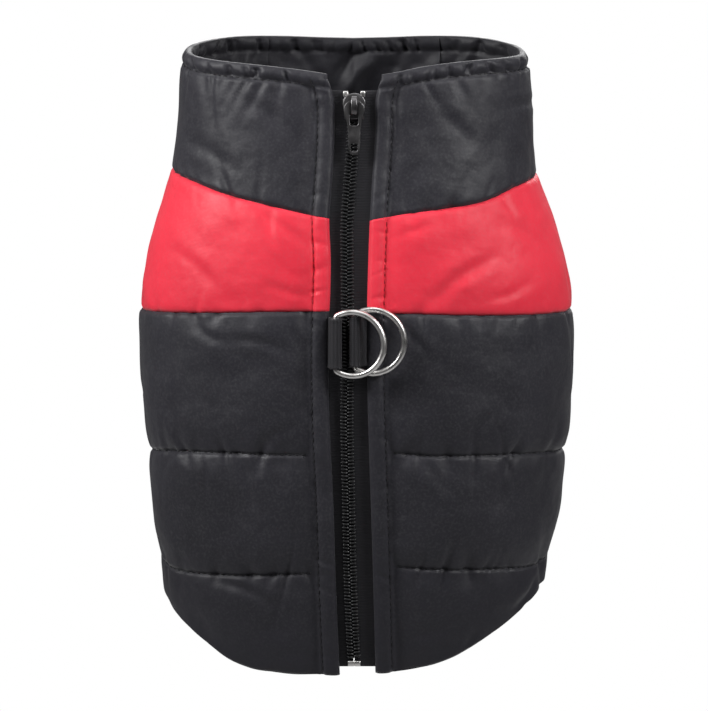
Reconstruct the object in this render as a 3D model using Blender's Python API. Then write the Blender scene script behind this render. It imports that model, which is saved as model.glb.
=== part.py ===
"""Dog winter coat: a quilted vest with a zip along the dog's back, filled out as if worn.

The coat stands neck up. Its zip side, which lies along the wearer's spine, faces -Y, and its
belly side faces +Y. The origin is on the wearer's axis at shoulder height, where the coat is held.
Lengths are in millimetres until a mesh is made, which is in metres.
"""

import math
from collections import namedtuple

import bmesh
import bpy
import numpy as np
from mathutils import Matrix, Vector

MM = 0.001

# Outline of the filled-out coat, as rings across the wearer, outside the padding
Section = namedtuple("Section", "height left_width right_width spine_depth belly_depth")
SECTIONS = (
    Section(-166.0, 79.0, 78.0, 42.0, 40.0),
    Section(-140.0, 82.6, 82.2, 46.0, 43.0),
    Section(-121.0, 84.8, 84.8, 48.6, 45.0),
    Section(-108.0, 85.0, 85.8, 50.4, 47.0),
    Section(-95.0, 85.8, 87.8, 52.2, 49.0),
    Section(-78.0, 87.3, 89.4, 54.4, 51.5),
    Section(-65.0, 88.8, 91.4, 55.8, 53.5),
    Section(-43.0, 90.3, 92.9, 57.2, 57.0),
    Section(-17.0, 92.0, 94.1, 58.0, 60.0),
    Section(-4.0, 92.4, 94.3, 58.2, 61.0),
    Section(9.0, 90.8, 93.0, 57.6, 61.0),
    Section(22.0, 88.3, 89.8, 56.4, 59.6),
    Section(35.0, 84.9, 85.8, 54.8, 57.6),
    Section(48.0, 81.2, 81.2, 52.6, 55.0),
    Section(61.0, 78.4, 78.2, 50.4, 52.0),
    Section(78.0, 76.0, 77.0, 47.6, 48.6),
    Section(95.0, 75.3, 76.2, 45.6, 46.0),
    Section(112.0, 74.8, 75.8, 44.5, 45.0),
)
ROUNDNESS = 2.3
PADDING_ROOM = 4.8

# Where the zip chain and the stitched welts beside it run, across the spine side
ZipRow = namedtuple("ZipRow", "height chain left_edge right_edge")
ZIP_ROWS = (
    ZipRow(-158.0, 0.4, 6.0, 9.2),
    ZipRow(-124.0, -1.3, 7.5, 8.4),
    ZipRow(-80.0, -2.3, 8.9, 7.1),
    ZipRow(-45.0, -3.0, 10.5, 6.0),
    ZipRow(-12.0, -2.7, 10.8, 5.4),
    ZipRow(24.0, -2.9, 9.9, 6.1),
    ZipRow(40.0, -2.9, 10.5, 6.7),
    ZipRow(54.0, -1.9, 9.5, 7.5),
    ZipRow(79.0, -0.2, 8.2, 9.0),
    ZipRow(98.0, 0.2, 8.2, 8.6),
)
WELT_WIDTH = 7.2

# The welt's outer surface, from its free edge to the line that is stitched into it
WeltRow = namedtuple("WeltRow", "offset lift")
WELT = (
    WeltRow(0.0, 1.6),
    WeltRow(0.9, 2.7),
    WeltRow(3.6, 3.4),
    WeltRow(6.3, 3.0),
    WeltRow(WELT_WIDTH, 2.2),
)

# Heights of the seams and edges, by the angle round the wearer from the spine
SeamRow = namedtuple("SeamRow", "angle left right")
NECK_RIM = (
    SeamRow(0, 99.6, 100.6),
    SeamRow(22, 102.8, 102.4),
    SeamRow(40, 104.6, 105.2),
    SeamRow(58, 105.9, 106.8),
    SeamRow(75, 106.8, 107.0),
    SeamRow(90, 107.6, 106.4),
    SeamRow(135, 107.6, 107.6),
    SeamRow(180, 108.4, 108.4),
)
UPPER_SEAM = (
    SeamRow(0, 39.0, 38.6),
    SeamRow(22, 42.3, 42.2),
    SeamRow(40, 46.0, 44.2),
    SeamRow(55, 49.6, 46.4),
    SeamRow(70, 54.0, 51.6),
    SeamRow(90, 56.4, 54.0),
    SeamRow(135, 57.5, 56.6),
    SeamRow(180, 58.0, 58.0),
)
LOWER_SEAM = (
    SeamRow(0, 1.9, 1.7),
    SeamRow(40, 0.8, -0.4),
    SeamRow(60, -0.8, -1.7),
    SeamRow(90, -3.8, -3.8),
    SeamRow(180, -4.0, -4.0),
)
UPPER_QUILT = (
    SeamRow(0, -61.0, -57.6),
    SeamRow(30, -60.4, -60.6),
    SeamRow(60, -60.6, -61.6),
    SeamRow(90, -64.0, -63.6),
    SeamRow(180, -64.0, -64.0),
)
LOWER_QUILT = (
    SeamRow(0, -111.5, -107.6),
    SeamRow(30, -112.4, -109.8),
    SeamRow(60, -113.8, -111.4),
    SeamRow(76, -113.6, -111.6),
    SeamRow(90, -109.4, -107.6),
    SeamRow(104, -101.0, -100.0),
    SeamRow(120, -94.0, -93.6),
    SeamRow(180, -90.0, -90.0),
)
TAIL_HEM = (
    SeamRow(0, -157.2, -156.0),
    SeamRow(22, -156.8, -155.8),
    SeamRow(36, -156.9, -154.2),
    SeamRow(44, -156.1, -152.5),
    SeamRow(52, -155.0, -149.0),
    SeamRow(60, -151.3, -143.0),
    SeamRow(68, -143.6, -135.8),
    SeamRow(75, -136.4, -128.6),
    SeamRow(82, -129.3, -123.0),
    SeamRow(90, -122.4, -118.6),
    SeamRow(104, -113.6, -111.6),
    SeamRow(120, -106.8, -106.2),
    SeamRow(138, -102.6, -102.6),
    SeamRow(158, -99.4, -99.4),
    SeamRow(180, -98.0, -98.0),
)

# The belly panel's half width, round the coat from the middle of the belly
BellyRow = namedtuple("BellyRow", "height half_width")
BELLY_ROWS = (
    BellyRow(-120.0, 41.0),
    BellyRow(-60.0, 46.0),
    BellyRow(0.0, 49.0),
    BellyRow(30.0, 48.0),
    BellyRow(60.0, 41.0),
    BellyRow(112.0, 37.0),
)

# Leg holes, on the seam between the back pieces and the belly panel
LEG_HEIGHT = 26.0
LEG_HALF_HEIGHT = 24.5
LEG_HALF_WIDTH = 23.0
LEG_BINDING_WIDTH = 3.6
LEG_BINDING_THICKNESS = 4.4

# Cloth and padding
SEAM_GAP = 0.3
EDGE_THICKNESS = 2.2
COLLAR_THICKNESS = 4.4
YOKE_THICKNESS = 4.5
BODY_THICKNESS = 4.9
BELLY_THICKNESS = 3.8
SEAM_RISE = 0.45
ROLL_WIDTH = 13.0
NECK_HEM_WIDTH = 6.0
NECK_HEM_THICKNESS = 3.7
BELLY_HEM_WIDTH = 7.0
BELLY_HEM_THICKNESS = 3.6

# Zip
TAPE_THICKNESS = 0.8
TAPE_TOP = 95.0
TAPE_BOTTOM = -153.6
TAPE_UNDER_WELT = 5.5
TAPE_PARTING = 0.4
TAPE_PARTING_AT_SLIDER = 1.5
CHAIN_HALF_WIDTH = 3.0
CHAIN_THICKNESS = 2.3
CHAIN_BOTTOM = -149.6
STOP_HALF_WIDTH = 3.5
STOP_HEIGHT = 3.2
TOP_STOP_LIFT = 1.9
SLIDER_HEIGHT = 88.3
SLIDER_HALF_LENGTH = 5.6
SLIDER_HALF_WIDTH = 4.9
SLIDER_FOOT_HALF_WIDTH = 3.8
SLIDER_PLATE = 1.4
SLIDER_BACK_PLATE = 1.0
CROWN_HALF_WIDTH = 1.25
CROWN_RISE = 3.9
PULL_LENGTH = 22.6
PULL_HALF_WIDTH = 4.5
PULL_NECK_HALF_WIDTH = 2.8
PULL_THICKNESS = 1.3
PULL_HINGE_UP = 1.9
PULL_HINGE_LIFT = 5.35

# D-rings and the webbing tabs that hold them
RING_WIRE = 2.6
RING_RADIUS = 13.7
RING_BAR_OFFSET = 7.2
RING_BAR_CLEARANCE = 0.3
WEBBING_THICKNESS = 1.0
WEBBING_HALF_WIDTH = 10.8
TAB_ROOT_LOW = 0.2
TAB_ROOT_HIGH = 2.1
TAB_SPREAD = 0.62
Ring = namedtuple("Ring", "side bar_x bar_lift height lean")
RINGS = {
    "left": Ring(-1, -7.6, 6.4, -11.5, 11.5),
    "right": Ring(1, 0.6, 5.2, -10.7, 3.0),
}

LEFT, RIGHT = -1, 1
SIDE_NAMES = {LEFT: "left", RIGHT: "right"}
RING_SAMPLES = np.radians(np.linspace(0.0, 180.0, 121))


def clear_scene():
    for obj in list(bpy.data.objects):
        bpy.data.objects.remove(obj, do_unlink=True)


def make_material(name, colour, roughness, metallic=0.0):
    material = bpy.data.materials.new(name)
    material.use_nodes = True
    shader = material.node_tree.nodes["Principled BSDF"]
    shader.inputs["Base Color"].default_value = (*colour, 1.0)
    shader.inputs["Roughness"].default_value = roughness
    shader.inputs["Metallic"].default_value = metallic
    return material


def mesh_object(name, mesh, material, smooth_angle=50.0):
    bmesh.ops.recalc_face_normals(mesh, faces=mesh.faces)
    data = bpy.data.meshes.new(name)
    mesh.to_mesh(data)
    mesh.free()
    data.shade_smooth()
    data.set_sharp_from_angle(angle=math.radians(smooth_angle))
    data.materials.append(material)
    obj = bpy.data.objects.new(name, data)
    bpy.context.scene.collection.objects.link(obj)
    return obj


def smooth_curve(positions, values, at):
    """A smooth curve through a short table, read at one position."""
    positions = np.asarray(positions, float)
    values = np.asarray(values, float)
    slopes = np.gradient(values, positions)
    at = float(np.clip(at, positions[0], positions[-1]))
    i = int(np.clip(np.searchsorted(positions, at) - 1, 0, len(positions) - 2))
    span = positions[i + 1] - positions[i]
    t = (at - positions[i]) / span
    start = (1 + 2 * t) * (1 - t) ** 2 * values[i] + t * (1 - t) ** 2 * span * slopes[i]
    end = t * t * (3 - 2 * t) * values[i + 1] - t * t * (1 - t) * span * slopes[i + 1]
    return float(start + end)


def read(rows, field, at):
    """One named field of a table of rows, read at a height, an angle or an offset."""
    return smooth_curve([row[0] for row in rows], [getattr(row, field) for row in rows], at)


def half_ring(side, height):
    """The cloth's inner outline on one side: points from spine to belly, and distances along it."""
    half_width = read(SECTIONS, f"{SIDE_NAMES[side]}_width", height) - PADDING_ROOM
    spine = read(SECTIONS, "spine_depth", height) - PADDING_ROOM
    belly = read(SECTIONS, "belly_depth", height) - PADDING_ROOM
    across, along = np.sin(RING_SAMPLES), np.cos(RING_SAMPLES)
    depth = np.where(along > 0, spine, belly)
    reach = (
        (across / half_width) ** ROUNDNESS + (np.abs(along) / depth) ** ROUNDNESS
    ) ** (-1 / ROUNDNESS)
    x, y = reach * across, -reach * along
    steps = np.hypot(np.diff(x), np.diff(y))
    return x, y, np.concatenate([[0.0], np.cumsum(steps)])


def half_girth(side, height):
    """Distance round one side of the coat's inside, from the spine to the belly."""
    return half_ring(side, height)[2][-1]


def inner_point(side, distance, height):
    """The cloth's inner surface, by distance round from the spine; past an end the side swaps."""
    if distance < 0:
        side, distance = -side, -distance
    x, y, distances = half_ring(side, height)
    if distance > distances[-1]:
        beyond = distance - distances[-1]
        side = -side
        x, y, distances = half_ring(side, height)
        distance = distances[-1] - beyond
    px, py = np.interp(distance, distances, x), np.interp(distance, distances, y)
    return Vector((side * px, py, height))


def outward(side, distance, height):
    """The cloth's outward normal."""
    reach = 1.0
    ahead, behind = (inner_point(side, distance + step, height) for step in (reach, -reach))
    above, below = (inner_point(side, distance, height + step) for step in (reach, -reach))
    normal = (ahead - behind).cross(above - below) * side
    return normal.normalized()


def cloth_point(side, distance, height, lift):
    """A point at a lift from the cloth's inner surface."""
    return inner_point(side, distance, height) + outward(side, distance, height) * lift


def spine_point(x, height, lift):
    """A point near the zip, by its place across the spine."""
    return cloth_point(RIGHT if x >= 0 else LEFT, abs(x), height, lift)


def angle_at(side, distance, height):
    """Degrees round the wearer from the spine, at a distance round the coat."""
    distances = half_ring(side, height)[2]
    return math.degrees(np.interp(distance, distances, RING_SAMPLES))


def leg_half_width(height):
    """Half the leg hole's width at a height, which is zero above and below it."""
    share = 1 - ((height - LEG_HEIGHT) / LEG_HALF_HEIGHT) ** 2
    return LEG_HALF_WIDTH * math.sqrt(max(share, 0.0))


def belly_half_width(height):
    return read(BELLY_ROWS, "half_width", height)


def from_side_seam(side, distance, height):
    """Distance from the side seam or the leg hole on it, whichever is nearer."""
    across = abs(half_girth(side, height) - belly_half_width(height) - distance)
    reach = math.hypot(across / LEG_HALF_WIDTH, (height - LEG_HEIGHT) / LEG_HALF_HEIGHT)
    return min(across, max(reach - 1, 0.0) * LEG_HALF_WIDTH)


def zip_edge(side, height):
    """Distance from the spine line to the free edge of the welt beside the zip."""
    return read(ZIP_ROWS, f"{SIDE_NAMES[side]}_edge", height)


def chain_place(height):
    return read(ZIP_ROWS, "chain", height)


def swell(distance):
    """How far padding has risen at a distance from a stitched line, from 0 to 1."""
    share = min(max(distance / ROLL_WIDTH, 0.0), 1.0)
    return 1 - (1 - share) ** 2.4


def seam_swell(distance):
    """Padding beside a seam or a quilting line, which presses it only part of the way."""
    return SEAM_RISE + (1 - SEAM_RISE) * swell(distance)


def ridge(position, width):
    """A rounded ridge across a hem, from its free edge to its stitched line."""
    share = min(max(position / width, 0.0), 1.0)
    return math.sin(math.pi * share) ** 0.7


class Piece:
    """A cut piece of cloth: columns of points, each with its place round the coat."""

    def __init__(self, name, thickness):
        self.name = name
        self.thickness = thickness

    def padded(self, column, height, rise):
        """Lift of the outer surface where padding has risen to a share of its height."""
        share = rise * self.across(column, height)
        return EDGE_THICKNESS + (self.thickness - EDGE_THICKNESS) * share

    def build(self, profile, material):
        """Makes the wall; profile gives a column's rows as pairs of height and lift."""
        outer, inner = [], []
        for place in self.columns:
            outer_column, inner_column = [], []
            for height, lift in profile(self, place):
                side, distance = self.place(place, height)
                lift = self.welted(place, lift)
                outer_column.append(cloth_point(side, distance, height, lift))
                inner_column.append(inner_point(side, distance, height))
            outer.append(outer_column)
            inner.append(inner_column)
        return wall_object(self.name, outer, inner, material)

    def welted(self, column, lift):
        return lift


class BackPiece(Piece):
    """A piece on the spine side, from the welt beside the zip to the seam with the belly panel."""

    BESIDE_WELT = (8.4, 11.5, 17.0)
    BESIDE_SEAM = (7.0, 2.2, 0.0)
    MIDDLE = 9

    def __init__(self, name, side, thickness):
        super().__init__(f"{name}_{SIDE_NAMES[side]}", thickness)
        self.side = side
        near = [row.offset for row in WELT] + list(self.BESIDE_WELT)
        shares = np.linspace(0.0, 1.0, self.MIDDLE + 2)[1:-1]
        self.columns = (
            [("near", offset) for offset in near]
            + [("middle", share) for share in shares]
            + [("far", offset) for offset in self.BESIDE_SEAM]
        )

    def seam_distance(self, height):
        taken = belly_half_width(height) + leg_half_width(height) + SEAM_GAP / 2
        return half_girth(self.side, height) - taken

    def place(self, column, height):
        kind, value = column
        if kind == "near":
            return self.side, zip_edge(self.side, height) + value
        if kind == "far":
            return self.side, self.seam_distance(height) - value
        start = zip_edge(self.side, height) + self.BESIDE_WELT[-1]
        end = self.seam_distance(height) - self.BESIDE_SEAM[0]
        return self.side, start + (end - start) * value

    def seam_height(self, rows, column):
        """The height at which a column crosses a seam whose height is given by angle."""
        field = SIDE_NAMES[self.side]
        height = getattr(rows[0], field)
        for _ in range(4):
            _, distance = self.place(column, height)
            height = read(rows, field, angle_at(self.side, distance, height))
        return height

    def across(self, column, height):
        side, distance = self.place(column, height)
        from_welt = distance - zip_edge(side, height) - WELT_WIDTH
        return swell(from_welt) * seam_swell(from_side_seam(side, distance, height))

    def welted(self, column, lift):
        kind, value = column
        if kind == "near" and value <= WELT_WIDTH:
            return read(WELT, "lift", value)
        return lift


class BellyPiece(Piece):
    """A piece across the belly side, between the two back seams."""

    columns = (-1.0, -0.94, -0.8, -0.55, -0.28, 0.0, 0.28, 0.55, 0.8, 0.94, 1.0)

    def half_width(self, height):
        return belly_half_width(height) - leg_half_width(height) - SEAM_GAP / 2

    def place(self, column, height):
        side = RIGHT if column >= 0 else LEFT
        return side, half_girth(side, height) - abs(column) * self.half_width(height)

    def seam_height(self, rows, column):
        side = RIGHT if column >= 0 else LEFT
        field = SIDE_NAMES[side]
        height = getattr(rows[-1], field)
        for _ in range(4):
            distance = half_girth(side, height) - abs(column) * belly_half_width(height)
            height = read(rows, field, angle_at(side, distance, height))
        return height

    def across(self, column, height):
        return seam_swell(from_side_seam(*self.place(column, height), height))


def wall_object(name, outer, inner, material):
    """A closed wall between two grids of points of the same size."""
    mesh = bmesh.new()
    front, back = (
        [[mesh.verts.new(point * MM) for point in line] for line in grid] for grid in (outer, inner)
    )
    last_line, last_point = len(front) - 1, len(front[0]) - 1
    for i in range(last_line):
        for j in range(last_point):
            for grid in (front, back):
                mesh.faces.new((grid[i][j], grid[i][j + 1], grid[i + 1][j + 1], grid[i + 1][j]))
        for j in (0, last_point):
            mesh.faces.new((front[i][j], back[i][j], back[i + 1][j], front[i + 1][j]))
    for j in range(last_point):
        for i in (0, last_line):
            mesh.faces.new((front[i][j], back[i][j], back[i][j + 1], front[i][j + 1]))
    return mesh_object(name, mesh, material)


def collar_profile(piece, column):
    """Rows up a collar piece: its padding, then the turned hem round the neck."""
    low = piece.seam_height(UPPER_SEAM, column) + SEAM_GAP / 2
    high = piece.seam_height(NECK_RIM, column)
    hem = high - NECK_HEM_WIDTH
    rows = []
    for share in (0.0, 0.06, 0.25, 0.55, 0.85, 0.97):
        height = low + (hem - low) * share
        rows.append((height, piece.padded(column, height, seam_swell(min(height - low, hem - height)))))
    for offset in (0.0, 1.0, 3.2, 5.2, NECK_HEM_WIDTH):
        rise = ridge(offset + 0.4, NECK_HEM_WIDTH + 0.8)
        lift = EDGE_THICKNESS + (NECK_HEM_THICKNESS - EDGE_THICKNESS) * rise
        rows.append((hem + offset, lift))
    return rows


def yoke_profile(piece, column):
    """Rows up a red band piece, close together at the ends of the leg hole."""
    seam = piece.columns[-1]
    seam_low = piece.seam_height(LOWER_SEAM, seam) + SEAM_GAP / 2
    seam_high = piece.seam_height(UPPER_SEAM, seam) - SEAM_GAP / 2
    low = piece.seam_height(LOWER_SEAM, column) + SEAM_GAP / 2
    high = piece.seam_height(UPPER_SEAM, column) - SEAM_GAP / 2
    turns = np.linspace(-math.pi / 2, math.pi / 2, 11)
    leg_rows = [LEG_HEIGHT + LEG_HALF_HEIGHT * math.sin(turn) for turn in turns]
    rows = []
    for place in (seam_low, *leg_rows, seam_high):
        height = low + (high - low) * (place - seam_low) / (seam_high - seam_low)
        rise = seam_swell(min(height - low, high - height))
        rows.append((height, piece.padded(column, height, rise)))
    return rows


def body_profile(piece, column):
    """Rows up a lower back piece: three channels of padding between the quilting lines."""
    lines = [piece.seam_height(rows, column) for rows in (TAIL_HEM, LOWER_QUILT, UPPER_QUILT)]
    lines.append(piece.seam_height(LOWER_SEAM, column) - SEAM_GAP / 2)
    hem = lines[0]
    rows = []
    for low, high in zip(lines, lines[1:]):
        for share in (0.0, 0.05, 0.2, 0.5, 0.8, 0.95):
            height = low + (high - low) * share
            rise = seam_swell(min(height - low, high - height)) * swell(height - hem)
            rows.append((height, piece.padded(column, height, rise)))
    rows.append((lines[-1], piece.padded(column, lines[-1], SEAM_RISE)))
    return rows


def belly_profile(piece, column):
    """Rows up the belly panel: elastic hem, one quilting line, and the leg holes' edges."""
    low = piece.seam_height(TAIL_HEM, column)
    hem = low + BELLY_HEM_WIDTH
    high = piece.seam_height(UPPER_SEAM, column) - SEAM_GAP / 2
    quilt = piece.seam_height(UPPER_QUILT, column)
    rows = []
    for offset in (0.0, 1.0, 3.5, 6.0):
        rise = ridge(offset + 0.4, BELLY_HEM_WIDTH + 0.8)
        rows.append((low + offset, EDGE_THICKNESS + (BELLY_HEM_THICKNESS - EDGE_THICKNESS) * rise))
    turns = np.linspace(-math.pi / 2, math.pi / 2, 11)
    heights = [hem, hem + 3, (hem + quilt) / 2, quilt - 3, quilt, quilt + 3, quilt + 14, -26.0, -10.0]
    heights += [LEG_HEIGHT + LEG_HALF_HEIGHT * math.sin(turn) for turn in turns]
    for height in (*heights, high):
        rise = seam_swell(min(height - hem, abs(height - quilt), high - height))
        rows.append((height, piece.padded(column, height, rise)))
    return rows


def make_leg_binding(side, material):
    """Elastic binding just inside the leg hole's rim: an oval tube swept round it."""
    steps, sides = 32, 8
    inset = 2 * SEAM_GAP + LEG_BINDING_WIDTH / 2
    middle = EDGE_THICKNESS / 2
    mesh = bmesh.new()
    loops = []
    for turn in np.linspace(0.0, 2 * math.pi, steps, endpoint=False):
        loop = []
        for around in np.linspace(0.0, 2 * math.pi, sides, endpoint=False):
            inward = inset - LEG_BINDING_WIDTH / 2 * math.cos(around)
            lift = middle + LEG_BINDING_THICKNESS / 2 * math.sin(around)
            height = LEG_HEIGHT + (LEG_HALF_HEIGHT - inward) * math.sin(turn)
            seam = half_girth(side, height) - belly_half_width(height)
            distance = seam + (LEG_HALF_WIDTH - inward) * math.cos(turn)
            loop.append(mesh.verts.new(cloth_point(side, distance, height, lift) * MM))
        loops.append(loop)
    for loop, following in zip(loops, loops[1:] + loops[:1]):
        for k in range(sides):
            m = (k + 1) % sides
            mesh.faces.new((loop[k], loop[m], following[m], following[k]))
    return mesh_object(f"leg_binding_{SIDE_NAMES[side]}", mesh, material)


def strip_object(name, heights, ends, low, high, material):
    """A strip up the spine side; ends gives its two places across the spine at a height."""
    outer, inner = [], []
    for height in heights:
        places = np.linspace(*ends(height), 4)
        outer.append([spine_point(place, height, high) for place in places])
        inner.append([spine_point(place, height, low) for place in places])
    return wall_object(name, outer, inner, material)


def make_zip(tape_material, chain_material, metal):
    """The two tapes, the closed chain of coil teeth as one strip, and the stops."""
    slider_foot = SLIDER_HEIGHT - SLIDER_HALF_LENGTH
    slider_head = SLIDER_HEIGHT + SLIDER_HALF_LENGTH

    def tape_ends(side):
        def ends(height):
            parting = TAPE_PARTING if height <= slider_foot else TAPE_PARTING_AT_SLIDER
            outer_end = side * (zip_edge(side, height) + TAPE_UNDER_WELT)
            return outer_end, chain_place(height) + side * parting

        return ends

    def around_chain(near, far):
        return lambda height: (chain_place(height) + near, chain_place(height) + far)

    heights = [*np.linspace(TAPE_BOTTOM, slider_foot, 23), slider_foot + 5, TAPE_TOP]
    for side in (LEFT, RIGHT):
        name = f"zip_tape_{SIDE_NAMES[side]}"
        low, high = -SEAM_GAP - TAPE_THICKNESS, -SEAM_GAP
        strip_object(name, heights, tape_ends(side), low, high, tape_material)

    chain_heights = np.linspace(CHAIN_BOTTOM, slider_foot - SEAM_GAP, 26)
    chain_ends = around_chain(-CHAIN_HALF_WIDTH, CHAIN_HALF_WIDTH)
    strip_object("zip_chain", chain_heights, chain_ends, 0.0, CHAIN_THICKNESS, chain_material)

    stop_top = CHAIN_BOTTOM - SEAM_GAP
    stop_ends = around_chain(-STOP_HALF_WIDTH, STOP_HALF_WIDTH)
    stop_heights = (stop_top - STOP_HEIGHT, stop_top)
    strip_object("bottom_stop", stop_heights, stop_ends, 0.0, CHAIN_THICKNESS + 0.3, metal)
    for side in (LEFT, RIGHT):
        name = f"top_stop_{SIDE_NAMES[side]}"
        ends = around_chain(side * 2.6, side * 4.8)
        top_heights = (slider_head - 1.6, slider_head + 0.8)
        strip_object(name, top_heights, ends, 0.0, TOP_STOP_LIFT, metal)


def slider_frame():
    """The slider's axes, in metres: origin on the cloth, X across, Y up the zip, Z outward."""
    place = chain_place(SLIDER_HEIGHT)
    normal = outward(RIGHT, place, SLIDER_HEIGHT)
    up = normal.cross(Vector((1, 0, 0))).normalized()
    across = up.cross(normal)
    frame = Matrix((across, up, normal)).transposed().to_4x4()
    frame.translation = spine_point(place, SLIDER_HEIGHT, 0.0) * MM
    return frame


def add_prism(mesh, outline, axis, low, high):
    """Adds a closed prism to a mesh; axis is the one along which it is extruded."""

    def point(a, b, along):
        return Vector((along, a, b) if axis == "X" else (a, b, along)) * MM

    face = mesh.faces.new([mesh.verts.new(point(a, b, low)) for a, b in outline])
    found = bmesh.ops.extrude_face_region(mesh, geom=[face])
    moved = [item for item in found["geom"] if isinstance(item, bmesh.types.BMVert)]
    bmesh.ops.translate(mesh, verts=moved, vec=point(0, 0, high - low))


def slider_outline(grow=0.0):
    """A slider plate seen from outside: a domed head that tapers to the foot."""
    half_width, dome_height = SLIDER_HALF_WIDTH + grow, 4.2
    base = SLIDER_HALF_LENGTH - dome_height
    turns = np.linspace(0.0, math.pi, 11)
    dome = [(half_width * math.cos(turn), base + dome_height * math.sin(turn)) for turn in turns]
    foot = SLIDER_FOOT_HALF_WIDTH + grow
    return dome + [(-foot, -SLIDER_HALF_LENGTH), (foot, -SLIDER_HALF_LENGTH)]


def crown_outline(plate_top):
    """The crown from the side: an arch over the pull's bar, on the slider's upper plate."""

    def arch(half_length, rise, start, end):
        turns = np.linspace(start, end, 8)
        return [(half_length * math.cos(t) + 0.2, plate_top + 1.5 + rise * math.sin(t)) for t in turns]

    sunk = plate_top - 0.3
    outside = arch(4.1, CROWN_RISE - 1.5, math.pi, 0.0)
    inside = arch(2.9, CROWN_RISE - 2.7, 0.0, math.pi)
    return [(-3.9, sunk), *outside, (4.3, sunk), (3.1, sunk), *inside, (-2.7, sunk)]


def make_slider(material):
    """Two plates, the post between them, side flanges and the crown that carries the pull."""
    plate_low = CHAIN_THICKNESS + SEAM_GAP
    plate_high = plate_low + SLIDER_PLATE
    back_high = -2 * SEAM_GAP - TAPE_THICKNESS
    back_low = back_high - SLIDER_BACK_PLATE
    post = ((-0.9, 3.0), (0.9, 3.0), (0.9, 5.0), (-0.9, 5.0))
    prisms = [
        (slider_outline(), "Z", plate_low, plate_high),
        (slider_outline(-0.4), "Z", back_low, back_high),
        (post, "Z", back_low + 0.3, plate_high - 0.3),
        (crown_outline(plate_high), "X", -CROWN_HALF_WIDTH, CROWN_HALF_WIDTH),
    ]
    for side in (LEFT, RIGHT):
        flange = ((3.4, -5.5), (4.05, -5.5), (4.55, 0.6), (3.5, 0.6))
        outline = [(side * x, y) for x, y in flange]
        prisms.append((outline, "Z", 0.2, plate_low + 0.4))
    parts = []
    for outline, axis, low, high in prisms:
        mesh = bmesh.new()
        add_prism(mesh, outline, axis, low, high)
        obj = mesh_object(f"slider_part_{len(parts)}", mesh, material)
        obj.matrix_world = slider_frame()
        parts.append(obj)
    slider, *others = parts
    slider.name = "slider"
    for other in others:
        other.hide_render = True
        other.display_type = "WIRE"
        union = slider.modifiers.new(other.name, "BOOLEAN")
        union.operation = "UNION"
        union.object = other
    return slider


def rounded(points, radius, steps=4):
    """An outline with its corners rounded."""
    result = []
    for i, point in enumerate(points):
        corner = Vector(point)
        before = (Vector(points[i - 1]) - corner).normalized() * radius
        after = (Vector(points[(i + 1) % len(points)]) - corner).normalized() * radius
        for t in np.linspace(0.0, 1.0, steps + 1):
            result.append(corner + before * (1 - t) ** 2 + after * t * t)
    return result


def plate_object(name, outline, holes, half_thickness, material):
    """A flat plate with holes, in its own XY plane."""
    data = bpy.data.curves.new(name, "CURVE")
    data.dimensions = "2D"
    data.fill_mode = "BOTH"
    data.extrude = half_thickness * MM
    for loop in (outline, *holes):
        add_loop(data, [(x, y, 0.0) for x, y in loop])
    return curve_object(name, data, material)


def add_loop(data, points):
    """Adds a closed line through points to a curve."""
    spline = data.splines.new("POLY")
    spline.points.add(len(points) - 1)
    for target, point in zip(spline.points, points):
        target.co = (*(value * MM for value in point), 1.0)
    spline.use_cyclic_u = True


def curve_object(name, data, material):
    data.materials.append(material)
    obj = bpy.data.objects.new(name, data)
    bpy.context.scene.collection.objects.link(obj)
    return obj


def make_pull(material):
    """The pull tab, about its hinge: an eye round the crown, a plate and a hole near its end."""
    neck, foot = PULL_NECK_HALF_WIDTH, -PULL_LENGTH
    turns = np.linspace(-0.35, math.pi + 0.35, 17)
    ear = [(PULL_HALF_WIDTH * math.cos(turn), -3.3 + 4.1 * math.sin(turn)) for turn in turns]
    one_side = [(neck + 0.5, -8.0), (neck, -10.5), (neck - 0.35, foot + 1.6), (neck - 1.3, foot)]
    other_side = [(-x, y) for x, y in one_side]
    outline = ear + other_side + one_side[::-1]
    eye = rounded([(-1.75, -0.8), (1.75, -0.8), (1.75, -10.2), (-1.75, -10.2)], 1.2)
    hole_top, hole_foot = foot + 4.8, foot + 1.3
    hole = rounded([(-1.5, hole_top), (1.5, hole_top), (1.5, hole_foot), (-1.5, hole_foot)], 0.7)
    pull = plate_object("pull_tab", outline, (eye, hole), PULL_THICKNESS / 2, material)
    hinge = Vector((0.0, PULL_HINGE_UP, PULL_HINGE_LIFT)) * MM
    pull.matrix_world = slider_frame() @ Matrix.Translation(hinge)
    return pull


def ring_bar(ring):
    """Where the middle of the ring's straight bar is."""
    return spine_point(ring.bar_x, ring.height, ring.bar_lift)


def make_ring(name, ring, material):
    """A D-ring about its straight bar, which is its hinge: round wire, welded shut."""
    start = math.acos(-RING_BAR_OFFSET / RING_RADIUS)
    reach = RING_RADIUS * math.sin(start)
    turns = np.linspace(start - 0.16, 0.16 - start, 29)
    arc = [
        (RING_BAR_OFFSET + RING_RADIUS * math.cos(turn), RING_RADIUS * math.sin(turn))
        for turn in turns
    ]
    corner = [(0.0, reach - 2.0), (0.1, reach - 0.6), (0.8, reach + 0.45)]
    far_corner = [(x, -z) for x, z in reversed(corner)]
    bar = [(0.0, z) for z in np.linspace(6.0 - reach, reach - 6.0, 4)]
    data = bpy.data.curves.new(name, "CURVE")
    data.dimensions = "3D"
    data.bevel_depth = RING_WIRE / 2 * MM
    data.bevel_resolution = 2
    add_loop(data, [(x, 0.0, z) for x, z in arc + far_corner + bar + corner])
    obj = curve_object(name, data, material)
    obj.location = ring_bar(ring) * MM
    obj.rotation_euler = (0.0, 0.0, -math.radians(ring.lean))
    return obj


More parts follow.
